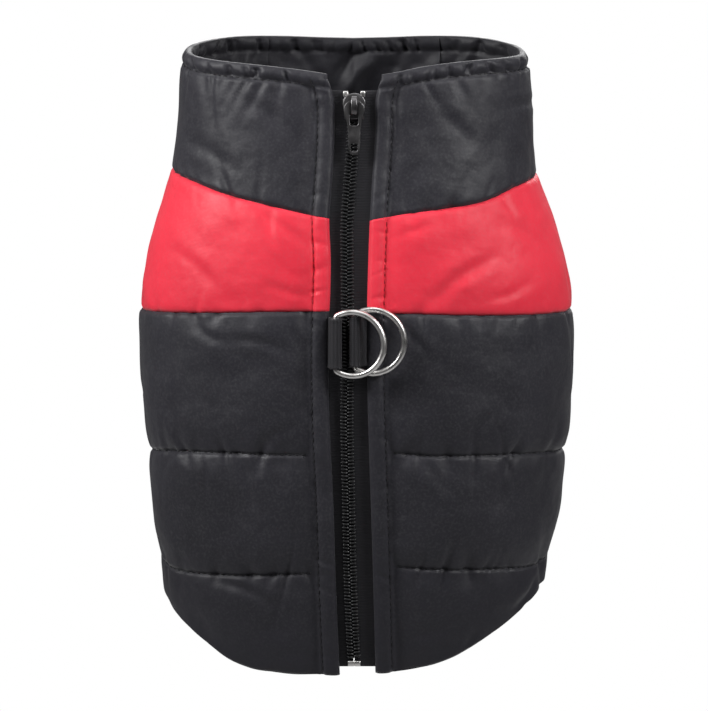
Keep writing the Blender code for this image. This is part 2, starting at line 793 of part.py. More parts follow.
def make_ring_tab(name, ring, material):
    """Webbing folded round the ring's bar, its two ends together beside the welt."""
    bar = ring_bar(ring)
    bore = RING_WIRE / 2 + RING_BAR_CLEARANCE
    radius = bore + WEBBING_THICKNESS
    edge = ring.side * (zip_edge(ring.side, ring.height) - SEAM_GAP)
    ends = [spine_point(edge, ring.height, lift) - bar for lift in (TAB_ROOT_LOW, TAB_ROOT_HIGH)]
    middle = (ends[0] + ends[1]) / 2
    heading = math.atan2(middle.y, middle.x)
    turns = np.linspace(heading + TAB_SPREAD, heading + 2 * math.pi - TAB_SPREAD, 19)
    loop = [(radius * math.cos(turn), radius * math.sin(turn)) for turn in turns]
    tail = sorted(((end.x, end.y) for end in ends), key=lambda end: math.atan2(end[1], end[0]))
    turns = np.linspace(0.0, 2 * math.pi, 14, endpoint=False)
    hole = [(bore * math.cos(turn), bore * math.sin(turn)) for turn in turns]
    obj = plate_object(name, loop + tail, (hole,), WEBBING_HALF_WIDTH, material)
    obj.location = bar * MM
    return obj


def build():
    clear_scene()
    black = make_material("black_nylon", (0.035, 0.034, 0.038), 0.55)
    red = make_material("red_nylon", (0.72, 0.035, 0.06), 0.5)
    elastic = make_material("black_elastic", (0.02, 0.02, 0.022), 0.8)
    tape = make_material("zip_tape", (0.018, 0.018, 0.02), 0.85)
    coil = make_material("zip_coil", (0.02, 0.02, 0.022), 0.4)
    webbing = make_material("black_webbing", (0.02, 0.02, 0.022), 0.7)
    gunmetal = make_material("gunmetal", (0.16, 0.16, 0.17), 0.35, 1.0)
    steel = make_material("nickel_steel", (0.78, 0.77, 0.75), 0.22, 1.0)

    for side in (LEFT, RIGHT):
        BackPiece("collar", side, COLLAR_THICKNESS).build(collar_profile, black)
        BackPiece("yoke", side, YOKE_THICKNESS).build(yoke_profile, red)
        BackPiece("body", side, BODY_THICKNESS).build(body_profile, black)
        make_leg_binding(side, elastic)
    BellyPiece("collar_throat", COLLAR_THICKNESS).build(collar_profile, black)
    BellyPiece("belly_panel", BELLY_THICKNESS).build(belly_profile, black)
    make_zip(tape, coil, steel)
    make_slider(gunmetal)
    make_pull(gunmetal)
    for name, ring in RINGS.items():
        make_ring(f"d_ring_{name}", ring, steel)
        make_ring_tab(f"ring_tab_{name}", ring, webbing)


build()
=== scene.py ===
"""The dressed dog winter coat: quilted nylon, red shoulder band, coil zip, leash rings and studio.

Lengths are in millimetres until a mesh is made, which is in metres. The coat stands neck up, with
its zip side, along the wearer's spine, towards -Y. Cloth is laid from flat cuts: a grid is
thickened, then each of its points goes to its place round the wearer, in or out by its padding.
"""

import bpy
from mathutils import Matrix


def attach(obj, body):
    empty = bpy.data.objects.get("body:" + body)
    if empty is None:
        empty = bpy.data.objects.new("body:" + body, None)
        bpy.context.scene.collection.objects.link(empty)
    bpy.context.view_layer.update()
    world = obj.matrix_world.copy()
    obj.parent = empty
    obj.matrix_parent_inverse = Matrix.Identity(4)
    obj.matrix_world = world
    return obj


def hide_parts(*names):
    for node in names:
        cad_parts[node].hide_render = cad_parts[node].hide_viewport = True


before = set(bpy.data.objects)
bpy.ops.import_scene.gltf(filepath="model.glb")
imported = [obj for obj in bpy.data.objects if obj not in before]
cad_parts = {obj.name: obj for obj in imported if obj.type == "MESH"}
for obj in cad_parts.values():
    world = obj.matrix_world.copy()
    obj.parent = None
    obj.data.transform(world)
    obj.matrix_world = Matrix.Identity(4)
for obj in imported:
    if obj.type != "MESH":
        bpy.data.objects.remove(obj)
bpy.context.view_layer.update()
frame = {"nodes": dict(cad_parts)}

import logging
import math
from dataclasses import dataclass, field
from enum import Enum

import bmesh
import bpy
import numpy as np
from mathutils import Matrix, Vector

LOG = logging.getLogger("winter_coat")
MM = 0.001
LEFT, RIGHT = -1, 1
SIDE_NAMES = {LEFT: "left", RIGHT: "right"}
TO_METRES = Matrix.Scale(MM, 4)
Array = np.ndarray

# The filled-out coat as rings across the wearer, outside the padding:
# height, width to the left, width to the right, depth on the spine side, depth on the belly side
SECTIONS = np.array([
    (-166.0, 79.0, 78.0, 42.0, 40.0), (-140.0, 82.6, 82.2, 46.0, 43.0),
    (-121.0, 84.8, 84.8, 48.6, 45.0), (-108.0, 85.0, 85.8, 50.4, 47.0),
    (-95.0, 85.8, 87.8, 52.2, 49.0), (-78.0, 87.3, 89.4, 54.4, 51.5),
    (-65.0, 88.8, 91.4, 55.8, 53.5), (-43.0, 90.3, 92.9, 57.2, 57.0),
    (-17.0, 92.0, 94.1, 58.0, 60.0), (-4.0, 92.4, 94.3, 58.2, 61.0),
    (9.0, 90.8, 93.0, 57.6, 61.0), (22.0, 88.3, 89.8, 56.4, 59.6),
    (35.0, 84.9, 85.8, 54.8, 57.6), (48.0, 81.2, 81.2, 52.6, 55.0),
    (61.0, 78.4, 78.2, 50.4, 52.0), (78.0, 76.0, 77.0, 47.6, 48.6),
    (95.0, 75.3, 76.2, 45.6, 46.0), (112.0, 74.8, 75.8, 44.5, 45.0),
])
# Height, the zip chain's place across the spine, and the free edges of the left and right welts
ZIP_ROWS = np.array([
    (-158.0, 0.4, 6.0, 9.2), (-124.0, -1.3, 7.5, 8.4), (-80.0, -2.3, 8.9, 7.1),
    (-45.0, -3.0, 10.5, 6.0), (-12.0, -2.7, 10.8, 5.4), (24.0, -2.9, 9.9, 6.1),
    (40.0, -2.9, 10.5, 6.7), (54.0, -1.9, 9.5, 7.5), (79.0, -0.2, 8.2, 9.0),
    (98.0, 0.2, 8.2, 8.6),
])
# Each seam or edge: angle round the wearer from the spine, height on the left, height on the right
NECK_RIM = np.array([
    (0, 99.6, 100.6), (22, 102.8, 102.4), (40, 104.6, 105.2), (58, 105.9, 106.8),
    (75, 106.8, 107.0), (90, 107.9, 106.9), (104, 109.2, 108.6), (120, 110.4, 110.2),
    (140, 110.0, 110.0), (160, 109.2, 109.2), (180, 108.8, 108.8),
])
UPPER_SEAM = np.array([
    (0, 39.0, 38.6), (22, 42.3, 42.2), (40, 46.0, 44.2), (55, 49.6, 46.4), (70, 54.0, 51.6),
    (90, 56.4, 54.0), (135, 57.5, 56.6), (180, 58.0, 58.0),
])
LOWER_SEAM = np.array([
    (0, 1.9, 1.7), (40, 0.8, -0.4), (60, -0.8, -1.7), (90, -3.8, -3.8), (180, -4.0, -4.0),
])
UPPER_QUILT = np.array([
    (0, -61.0, -57.6), (30, -60.4, -60.6), (60, -60.6, -61.6), (90, -64.0, -63.6),
    (180, -64.0, -64.0),
])
LOWER_QUILT = np.array([
    (0, -111.5, -107.6), (30, -112.4, -109.8), (60, -113.8, -111.4), (76, -113.6, -111.6),
    (90, -109.4, -107.6), (104, -101.0, -100.0), (120, -94.0, -93.6), (180, -90.0, -90.0),
])
TAIL_HEM = np.array([
    (0, -157.2, -156.0), (22, -156.8, -155.8), (36, -156.9, -154.2), (44, -156.1, -152.5),
    (52, -155.0, -149.0), (60, -151.3, -143.0), (68, -143.6, -135.8), (75, -136.4, -128.6),
    (82, -129.3, -123.0), (90, -122.4, -118.6), (104, -113.6, -111.6), (120, -106.8, -106.2),
    (138, -102.6, -102.6), (158, -99.4, -99.4), (180, -98.0, -98.0),
])
# Height and the belly panel's half width, round the coat from the middle of the belly
BELLY_ROWS = np.array([
    (-120.0, 41.0), (-60.0, 46.0), (0.0, 49.0), (30.0, 48.0), (60.0, 41.0), (112.0, 37.0),
])
# The welt's outer surface: distance from its free edge, and lift from the cloth's inside
WELT_ROWS = np.array([
    (0.0, 1.1), (0.35, 2.0), (0.9, 2.75), (2.2, 3.25), (3.6, 3.4), (5.2, 3.2), (6.3, 2.7),
    (7.2, 1.5), (7.8, 2.1), (8.4, 2.5),
])
# The welt's width, and where the padding beside it takes over; a back piece's columns from
# PADDED_COLUMNS on are shares of the way from there to the side seam
WELT_WIDTH, WELT_BLEND, PADDED_COLUMNS = 7.2, 8.4, 100
LEG_HEIGHT, LEG_HALF_HEIGHT, LEG_HALF_WIDTH = 26.0, 24.5, 23.0
# Lift of the outer face at a seam, half the gap in a side seam, and a stitch's lift off its cloth
EDGE_LIFT, SEAM_GAP, STITCH_LIFT = 2.2, 0.04, 0.12


def curve(table: Array, at: Array, column: int = 1) -> Array:
    """Reads a smooth curve through one column of a short table.

    Args:
        table: Rows of a position, rising, and its values.
        at: Where the curve is read; past the ends it keeps its end value.
        column: Which value is read.

    Returns:
        The curve's values, in the shape of at.
    """
    positions, values = table[:, 0], table[:, column]
    slopes = np.gradient(values, positions)
    at = np.clip(np.asarray(at, float), positions[0], positions[-1])
    i = np.clip(np.searchsorted(positions, at) - 1, 0, len(positions) - 2)
    span = positions[i + 1] - positions[i]
    t = (at - positions[i]) / span
    start = (1 + 2 * t) * (1 - t) ** 2 * values[i] + t * (1 - t) ** 2 * span * slopes[i]
    end = t * t * (3 - 2 * t) * values[i + 1] - t * t * (1 - t) * span * slopes[i + 1]
    return start + end


def swell(distance: Array, roll: float = 13.0) -> Array:
    """How far padding has risen, from 0 to 1, at a distance from a stitched line."""
    return 1 - (1 - np.clip(distance / roll, 0.0, 1.0)) ** 2.4


def bell(offset: Array, width: float) -> Array:
    """A soft hump of height 1, width either side of its middle."""
    return np.exp(-((offset / width) ** 2))


def ease(share: Array) -> Array:
    """A share clipped to 0 and 1 that leaves and reaches them gently."""
    share = np.clip(share, 0, 1)
    return share * share * (3 - 2 * share)


def blend(first: Array, second: Array, share: Array) -> Array:
    """Goes from the first to the second as the share goes from 0 to 1."""
    return first * (1 - share) + second * share


def by_side(side: Array, left: Array, right: Array) -> Array:
    """Takes the left or the right value, by the side that each point is on."""
    return np.where(np.asarray(side) < 0, left, right)


class Spacing(Enum):
    """How the rows of a band of cloth are spread between its two edges."""

    EVEN = "even"
    CLOSE_AT_EDGES = "close at edges"
    LEG_HOLE = "leg hole"

    def shares(self, rows: int) -> Array:
        """Spreads rows from 0 to 1.

        Args:
            rows: How many spaces there are between rows.

        Returns:
            rows + 1 rising numbers.
        """
        t = np.linspace(0.0, 1.0, rows + 1)
        if self is Spacing.CLOSE_AT_EDGES:
            return t - 0.8 * np.sin(2 * np.pi * t) / (2 * np.pi)
        if self is Spacing.LEG_HOLE:
            return (1 - np.cos(np.pi * t)) / 2
        return t


@dataclass
class CoatForm:
    """The inside of the cloth as a surface, read by distance round the coat and height.

    Attributes:
        roundness: Power of the rounded oval that each ring across the wearer follows.
        room: How far the inside lies under the outline of the padded coat.
    """

    roundness: float = 2.3
    room: float = 4.8
    heights: Array = field(default_factory=lambda: np.arange(-172.0, 115.0, 1.0))
    shares: Array = field(default_factory=lambda: np.linspace(0.0, 1.0, 301))

    def __post_init__(self) -> None:
        """Works out the tables of points, angles and girths that the surface is read from."""
        self.tables: dict[int, Array] = {}
        self.girths: dict[int, Array] = {}
        angles = np.radians(np.linspace(0.0, 180.0, 361))
        across, along = np.sin(angles), np.cos(angles)
        for side, column in ((LEFT, 1), (RIGHT, 2)):
            table = np.zeros((len(self.heights), len(self.shares), 3))
            girths = np.zeros(len(self.heights))
            wide, spine, belly = (
                curve(SECTIONS, self.heights, c) - self.room for c in (column, 3, 4)
            )
            for i in range(len(self.heights)):
                depth = np.where(along > 0, spine[i], belly[i])
                reach = (
                    (across / wide[i]) ** self.roundness + (np.abs(along) / depth) ** self.roundness
                ) ** (-1 / self.roundness)
                x, y = reach * across, -reach * along
                distance = np.concatenate([[0.0], np.cumsum(np.hypot(np.diff(x), np.diff(y)))])
                girths[i] = distance[-1]
                share = distance / distance[-1]
                table[i, :, 0] = side * np.interp(self.shares, share, x)
                table[i, :, 1] = np.interp(self.shares, share, y)
                table[i, :, 2] = np.interp(self.shares, share, np.degrees(angles))
            self.tables[side], self.girths[side] = table, girths

    def girth(self, side: Array, height: Array) -> Array:
        """Distance round one side of the coat's inside, from the spine to the belly."""
        return by_side(side, *(np.interp(height, self.heights, self.girths[s]) for s in (LEFT, RIGHT)))

    def look_up(self, side: Array, distance: Array, height: Array) -> Array:
        """Reads the tables between their rows and columns.

        Args:
            side: LEFT or RIGHT for each point.
            distance: Distance round from the spine, within the side.
            height: Height.

        Returns:
            X, Y and the angle in degrees, in a last axis of 3.
        """
        side, distance, height = np.broadcast_arrays(side, distance, height)
        down = np.clip(height - self.heights[0], 0, len(self.heights) - 1.001)
        over = np.clip(distance / self.girth(side, height), 0, 1) * (len(self.shares) - 1.001)
        i, j = down.astype(int), over.astype(int)
        a, b = (down - i)[..., None], (over - j)[..., None]
        result = np.zeros((*side.shape, 3))
        for s in (LEFT, RIGHT):
            t, m = self.tables[s], side == s
            im, jm, am, bm = i[m], j[m], a[m], b[m]
            low, high = (blend(t[row, jm], t[row, jm + 1], bm) for row in (im, im + 1))
            result[m] = blend(low, high, am)
        return result

    def inner(self, side: Array, distance: Array, height: Array) -> Array:
        """Points on the cloth's inside; past either end of a side they go on round the other.

        Args:
            side: LEFT or RIGHT for each point.
            distance: Distance round from the spine.
            height: Height.

        Returns:
            X, Y and Z in a last axis of 3.
        """
        side, distance, height = (np.array(v, float) for v in np.broadcast_arrays(side, distance, height))
        before = distance < 0
        side, distance = np.where(before, -side, side), np.abs(distance)
        beyond = distance - self.girth(side, height)
        past = beyond > 0
        side = np.where(past, -side, side)
        distance = np.where(past, self.girth(side, height) - beyond, distance)
        found = self.look_up(side, distance, height)
        return np.stack([found[..., 0], found[..., 1], height], axis=-1)

    def outward(self, side: Array, distance: Array, height: Array) -> Array:
        """The cloth's outward directions, each of length 1."""
        ahead, behind = (self.inner(side, distance + step, height) for step in (1.0, -1.0))
        above, below = (self.inner(side, distance, height + step) for step in (1.0, -1.0))
        normal = np.cross(ahead - behind, above - below) * np.asarray(side)[..., None]
        return normal / np.linalg.norm(normal, axis=-1, keepdims=True)

    def place(
        self, side: Array, distance: Array, height: Array, lift: Array
    ) -> Array:
        """Points at a lift from the cloth's inside, in millimetres."""
        side, distance, height, lift = (
            np.asarray(v, float) for v in np.broadcast_arrays(side, distance, height, lift)
        )
        return self.inner(side, distance, height) + self.outward(side, distance, height) * lift[..., None]

    def near_zip(self, x: Array, height: Array, lift: Array) -> Array:
        """Points near the zip, by their place across the spine."""
        x = np.asarray(x, float)
        return self.place(np.where(x >= 0, RIGHT, LEFT), np.abs(x), height, lift)

    def across(self, x: float, height: float) -> float:
        """Distance round from the spine of what is seen x across it from the zip side."""
        side = RIGHT if x >= 0 else LEFT
        i = int(round(height - self.heights[0]))
        front = len(self.shares) // 2
        half = self.tables[side][i, :front, 0] * side
        return float(np.interp(abs(x), half, self.shares[:front])) * self.girths[side][i]

    def seam_at(
        self, rows: Array, side: Array, distance: Array, height: Array
    ) -> Array:
        """Height of a seam at points round the coat."""
        angle = self.look_up(side, distance, height)[..., 2]
        return by_side(side, *(curve(rows, angle, c) for c in (1, 2)))


FORM = CoatForm()


def zip_edge(side: Array, height: Array) -> Array:
    """Distance from the spine line to the free edge of the welt beside the zip."""
    return by_side(side, *(curve(ZIP_ROWS, height, c) for c in (2, 3)))


def chain_place(height: Array) -> Array:
    """The zip chain's place across the spine."""
    return curve(ZIP_ROWS, height)


def belly_half_width(height: Array) -> Array:
    """Half the belly panel's width, leg holes left out of account."""
    return curve(BELLY_ROWS, height)


def leg_half_width(height: Array) -> Array:
    """Half the leg hole's width at a height, which is zero above and below it."""
    share = 1 - ((np.asarray(height) - LEG_HEIGHT) / LEG_HALF_HEIGHT) ** 2
    return LEG_HALF_WIDTH * np.sqrt(np.maximum(share, 0.0))


def from_side_seam(side: Array, distance: Array, height: Array) -> Array:
    """Distance from the side seam or the leg hole on it, whichever is nearer."""
    across = np.abs(FORM.girth(side, height) - belly_half_width(height) - distance)
    reach = np.hypot(across / LEG_HALF_WIDTH, (height - LEG_HEIGHT) / LEG_HALF_HEIGHT)
    return np.minimum(across, np.maximum(reach - 1, 0.0) * LEG_HALF_WIDTH)


@dataclass(frozen=True)
class Gathers:
    """Uneven puckers where cloth is drawn up along a stitched line.

    Attributes:
        spacing: Mean distance from one to the next.
        depth: Mean depth.
        width: Half width of one.
        reach: How far from the line they fade out.
        seed: Which uneven row of them this is.
    """

    spacing: float
    depth: float
    width: float
    reach: float
    seed: int

    def sink(self, along: Array, away: Array) -> Array:
        """How deep the cloth sinks at points along the line and away from it."""
        rng = np.random.default_rng(self.seed)
        result = np.zeros(np.broadcast(along, away).shape)
        low, high = float(np.min(along)), float(np.max(along))
        at = low
        while at < high:
            at += self.spacing * rng.uniform(0.45, 1.7)
            depth = self.depth * rng.uniform(0.3, 2.6)
            width = self.width * rng.uniform(0.7, 1.7)
            reach = self.reach * rng.uniform(0.5, 1.6)
            tilt = rng.uniform(-0.55, 0.55)
            fade = np.exp(-((np.abs(away) / reach) ** 1.5))
            q = (along - at - tilt * away) / width
            result += depth * (np.exp(-(q**2)) - 0.35 * np.exp(-((q / 2.1) ** 2))) * fade
        return result


@dataclass(frozen=True)
class Crease:
    """A soft trough pressed into the cloth, with a slight ridge along either side.

    Attributes:
        x0, z0: One end: across the spine as seen from the zip side, and height.
        x1, z1: The other end.
        width: Half width of the trough.
        depth: Depth of the trough; below zero it is a ridge.
        bow: How far its middle is bowed sideways.
    """

    x0: float
    z0: float
    x1: float
    z1: float
    width: float
    depth: float
    bow: float = 0.0

    def sink(self, along: Array, height: Array, by_distance: bool = False) -> Array:
        """How deep the cloth sinks at points.

        Args:
            along: Signed distance round the coat from the spine.
            height: Height.
            by_distance: Whether x0 and x1 are distances round instead of seen from the zip side.

        Returns:
            The depth at each point.
        """
        if by_distance:
            a, b = self.x0, self.x1
        else:
            ends = ((self.x0, self.z0), (self.x1, self.z1))
            a, b = (math.copysign(FORM.across(x, z), x) for x, z in ends)
        run, rise = b - a, self.z1 - self.z0
        length = math.hypot(run, rise)
        t = ((along - a) * run + (height - self.z0) * rise) / length**2
        off = ((along - a) * -rise + (height - self.z0) * run) / length
        off = off - self.bow * np.sin(np.pi * np.clip(t, 0, 1))
        ends = np.maximum(np.maximum(-t, t - 1), 0) * length / (1.6 * self.width)
        fade = np.exp(-(ends**2)) * (0.55 + 0.45 * np.sin(np.pi * np.clip(t, 0, 1)))
        q = off / self.width
        return self.depth * (np.exp(-(q**2)) - 0.4 * np.exp(-((q / 2.0) ** 2))) * fade


# How many waves make the unevenness of settled padding, and roughly how high they stand together
RUMPLE_WAVES, RUMPLE_PEAK = 14, 3.7


def rumple(along: Array, height: Array, seed: int, size: float, rise: float) -> Array:
    """Soft unevenness of padding that has settled.

    Args:
        along: Distance round the coat.
        height: Height.
        seed: Which unevenness.
        size: Rough width of one swelling.
        rise: Rough height of one.

    Returns:
        The rise at each point, above and below zero.
    """
    rng = np.random.default_rng(seed)
    result = np.zeros(np.broadcast(along, height).shape)
    for _ in range(RUMPLE_WAVES):
        turn, phase = rng.uniform(0, 2 * math.pi, 2)
        length = size * rng.uniform(1.1, 3.2)
        way = along * math.cos(turn) + height * math.sin(turn)
        result += np.sin(way * 2 * math.pi / length + phase)
    return result * rise / RUMPLE_PEAK


class Shader:
    """A short way to build a material's nodes."""

    def __init__(self, name: str) -> None:
        """Starts a material that has one Principled shader."""
        self.material = bpy.data.materials.new(name)
        self.material.use_nodes = True
        self.tree = self.material.node_tree
        self.surface = self.tree.nodes["Principled BSDF"]

    def node(self, kind: str, settings: dict | None = None, **inputs: object) -> bpy.types.Node:
        """Adds a node.

        Args:
            kind: The node's type.
            settings: Its own settings by name.
            inputs: Its inputs, spaces written as underscores, as values or as outputs to link.

        Returns:
            The node.
        """
        node = self.tree.nodes.new(kind)
        for key, value in (settings or {}).items():
            setattr(node, key, value)
        for key, value in inputs.items():
            self.feed(node.inputs[int(key[1:]) if key[1:].isdigit() else key.replace("_", " ")], value)
        return node

    def feed(self, socket: bpy.types.NodeSocket, value: object) -> None:
        """Links an output to a socket, or sets the socket's value."""
        if isinstance(value, bpy.types.NodeSocket):
            self.tree.links.new(value, socket)
        else:
            socket.default_value = value

    def cloth(self) -> object:
        """Place on the flat cut, in metres."""
        return self.node("ShaderNodeUVMap", {"uv_map": "UVMap"}).outputs[0]

    def space(self) -> object:
        """Place in the piece's own space."""
        return self.node("ShaderNodeTexCoord").outputs["Object"]

    def noise(self, place: object, scale: float, detail: float = 3.0, roughness: float = 0.55) -> object:
        """The value of a noise pattern."""
        return self.node(
            "ShaderNodeTexNoise", Vector=place, Scale=scale, Detail=detail, Roughness=roughness
        ).outputs[0]

    def bands(self, place: object, axis: str, scale: float, warp: float = 0.0) -> object:
        """The value of a pattern of even threads across an axis."""
        node = self.node(
            "ShaderNodeTexWave", {"wave_type": "BANDS", "bands_direction": axis, "wave_profile": "SIN"},
            Vector=place, Scale=scale, Distortion=warp, Detail=1.0, Detail_Scale=0.6,
        )
        return node.outputs["Fac"]

    def math(self, operation: str, a: object, b: object = 0.0) -> object:
        """One step of arithmetic."""
        return self.node("ShaderNodeMath", {"operation": operation}, _0=a, _1=b).outputs[0]

    def ramp(self, value: object, low: float, high: float, to_low: float, to_high: float) -> object:
        """Maps a value from one range to another."""
        return self.node(
            "ShaderNodeMapRange", Value=value, From_Min=low, From_Max=high, To_Min=to_low, To_Max=to_high
        ).outputs[0]

    def mix(self, share: object, a: object, b: object) -> object:
        """Mixes two colours."""
        node = self.node("ShaderNodeMix", {"data_type": "RGBA"})
        for index, value in ((0, share), (6, a), (7, b)):
            self.feed(node.inputs[index], value)
        return node.outputs[2]

    def bumps(self, *layers: tuple[object, float, float]) -> object:
        """Raises the surface by one pattern on top of another.

        Args:
            layers: Each pattern's height, its distance in metres and its strength.

        Returns:
            The normal that they give together.
        """
        normal = None
        for height, distance, strength in layers:
            node = self.node("ShaderNodeBump", Height=height, Distance=distance, Strength=strength)
            if normal is not None:
                self.feed(node.inputs["Normal"], normal)
            normal = node.outputs[0]
        return normal

    def finish(self, **inputs: object) -> bpy.types.Material:
        """Feeds the shader's inputs and hands over the material."""
        for key, value in inputs.items():
            self.feed(self.surface.inputs[key.replace("_", " ")], value)
        return self.material


def shade(colour: tuple[float, float, float], by: float) -> tuple[float, float, float, float]:
    """A colour made lighter or darker, with alpha."""
    return (*(min(1.0, c * by) for c in colour), 1.0)


@dataclass(frozen=True)
class NylonFinish:
    """Woven nylon shell cloth over padding.

    Attributes:
        name: The material's name.
        colour: The dyed colour.
        roughness: How dull the weave is.
        sheen: How much light the threads catch at a glance.
        variation: How far the dye and the light on it vary.
        crumple: Depth in metres of the small dents over the padding.
        gloss: Strength of the plain reflection.
    """

    name: str
    colour: tuple[float, float, float]
    roughness: float = 0.5
    sheen: float = 0.12
    variation: float = 0.14
    crumple: float = 0.0011
    gloss: float = 0.45

    def material(self) -> bpy.types.Material:
        """Builds the material: plain weave, small dents, dye variation and wear on raised places."""
        s = Shader(self.name)
        cloth, space = s.cloth(), s.space()
        weave = s.math("MULTIPLY", s.bands(cloth, "X", 640.0, 0.6), s.bands(cloth, "Y", 560.0, 0.6))
        normal = s.bumps(
            (s.noise(space, 34.0, 3.0, 0.5), self.crumple * 2.6, 0.9),
            (s.noise(space, 85.0, 4.0, 0.5), self.crumple * 0.55, 0.7),
            (s.noise(space, 420.0, 3.0, 0.6), 0.00010, 0.4),
            (weave, 0.00007, 0.3),
        )
        tone = s.ramp(s.noise(space, 22.0, 5.0, 0.62), 0.3, 0.7, 0.0, 1.0)
        base = s.mix(tone, shade(self.colour, 1 - self.variation), shade(self.colour, 1 + self.variation))
        worn = s.node("ShaderNodeAttribute", {"attribute_name": "raised"}).outputs["Fac"]
        speckle = s.ramp(s.noise(space, 900.0, 2.0), 0.45, 0.75, 0.0, 0.16)
        pale = shade(tuple(0.6 * c + 0.12 for c in self.colour), 1.0)
        colour = s.mix(s.math("MULTIPLY", worn, speckle), base, pale)
        rough = s.ramp(s.noise(space, 60.0, 3.0), 0.3, 0.7, self.roughness - 0.06, self.roughness + 0.08)
        return s.finish(
            Base_Color=colour, Roughness=rough, Normal=normal, Sheen_Weight=self.sheen,
            Sheen_Roughness=0.45, Specular_IOR_Level=self.gloss,
        )


@dataclass(frozen=True)
class RibbedFinish:
    """Woven tape, webbing or elastic, with ribs across its length.

    Attributes:
        name: The material's name.
        colour: The yarn's colour.
        ribs: How many ribs there are in a metre of the piece's UV map.
        axis: The UV axis that the ribs follow each other along.
        depth: Depth of a rib in metres.
        roughness: How dull the yarn is.
    """

    name: str
    colour: tuple[float, float, float]
    ribs: float
    axis: str
    depth: float
    roughness: float = 0.7

    def material(self) -> bpy.types.Material:
        """Builds the material: ribs, the finer yarn across them, painted shade in the grooves between the
        ribs with a painted highlight on their crests, and an uneven dye.
        """
        s = Shader(self.name)
        cloth, space = s.cloth(), s.space()
        other = "Y" if self.axis == "X" else "X"
        ribs = s.bands(cloth, self.axis, self.ribs / 3.18, 0.4)
        yarn = s.bands(cloth, other, self.ribs / 2.2, 0.8)
        normal = s.bumps(
            (ribs, self.depth, 0.8),
            (s.math("MULTIPLY", yarn, ribs), self.depth * 0.6, 0.6),
            (s.noise(space, 1400.0, 2.0), 0.00008, 0.5),
        )
        # Painted shade and highlight: the colour darkens in the ribs' grooves and lightens on their crests,
        # following the same wave that raises them; the noise on top is an uneven dye.
        tone = s.math("MULTIPLY", ribs, s.ramp(s.noise(space, 55.0, 4.0), 0.3, 0.7, 0.4, 1.0))
        base = s.mix(tone, shade(self.colour, 0.62), shade(self.colour, 1.25))
        return s.finish(
            Base_Color=base, Roughness=self.roughness, Normal=normal, Sheen_Weight=0.08,
            Sheen_Roughness=0.5, Specular_IOR_Level=0.35,
        )


@dataclass(frozen=True)
class HardFinish:
    """Metal or moulded plastic with fine marks of use.

    Attributes:
        name: The material's name.
        colour: The surface's colour.
        metallic: 1 for metal, 0 for plastic.
        roughness: How dull it is.
        marks: Depth in metres of its fine scratches.
        tarnish: How far the colour darkens in patches.
    """

    name: str
    colour: tuple[float, float, float]
    metallic: float
    roughness: float
    marks: float = 0.00002
    tarnish: float = 0.2

    def material(self) -> bpy.types.Material:
        """Builds the material: brushed marks, patches of tarnish and uneven polish."""
        s = Shader(self.name)
        space = s.space()
        drawn = s.node("ShaderNodeMapping", Vector=space, Scale=(1.0, 1.0, 0.18)).outputs[0]
        scratches = s.noise(drawn, 1500.0, 4.0, 0.7)
        patches = s.ramp(s.noise(space, 130.0, 4.0, 0.6), 0.35, 0.7, 0.0, 1.0)
        base = s.mix(patches, shade(self.colour, 1.0), shade(self.colour, 1 - self.tarnish))
        rough = s.ramp(s.noise(space, 240.0, 4.0), 0.3, 0.75, self.roughness * 0.75, self.roughness * 1.4)
        return s.finish(
            Base_Color=base, Metallic=self.metallic, Roughness=rough,
            Normal=s.bumps((scratches, self.marks, 0.6)),
        )


@dataclass(frozen=True)
class PlainFinish:
    """A plain pale surface for the studio's floor."""

    name: str = "studio_floor"

    def material(self) -> bpy.types.Material:
        """Builds a matt pale material with a faint unevenness."""
        s = Shader(self.name)
        space = s.space()
        base = s.mix(s.noise(space, 3.0), shade((0.86, 0.86, 0.86), 1.0), shade((0.9, 0.9, 0.9), 1.0))
        return s.finish(Base_Color=base, Roughness=0.9)


class Finishes:
    """Every finish on the coat, each made once."""

    def __init__(self) -> None:
        """Makes the materials."""
        black = NylonFinish("black_shell", (0.0215, 0.0205, 0.0275), roughness=0.52, gloss=0.4)
        lining = NylonFinish(
            "black_lining", (0.0155, 0.0148, 0.019), roughness=0.56, crumple=0.0012, gloss=0.3
        )
        red = NylonFinish(
            "red_shell", (0.90, 0.037, 0.068), roughness=0.46, sheen=0.1, variation=0.05,
            crumple=0.0009, gloss=0.3,
        )
        self.black, self.lining, self.red = (look.material() for look in (black, lining, red))
        self.tape, self.elastic, self.webbing, self.black_thread, self.red_thread = (
            RibbedFinish(*look).material() for look in (
                ("zip_tape_weave", (0.026, 0.025, 0.030), 1500.0, "Y", 0.00006),
                ("leg_elastic", (0.022, 0.021, 0.024), 900.0, "Y", 0.00016),
                ("ring_webbing", (0.021, 0.02, 0.024), 800.0, "X", 0.00014, 0.6),
                ("black_thread", (0.03, 0.029, 0.033), 2500.0, "X", 0.00003),
                ("red_thread", (0.78, 0.035, 0.06), 2500.0, "X", 0.00003),
            )
        )
        self.coil, self.gunmetal, self.nickel = (
            HardFinish(*look).material() for look in (
                ("nylon_coil", (0.010, 0.010, 0.011), 0.0, 0.3, 0.00001),
                ("dark_gunmetal", (0.20, 0.195, 0.20), 1.0, 0.36, 0.00003),
                ("bright_nickel", (0.97, 0.95, 0.93), 1.0, 0.3, 0.000015, 0.1),
            )
        )


def linked(name: str, data: bpy.types.ID) -> bpy.types.Object:
    """A new object in the scene."""
    obj = bpy.data.objects.new(name, data)
    bpy.context.scene.collection.objects.link(obj)
    return obj


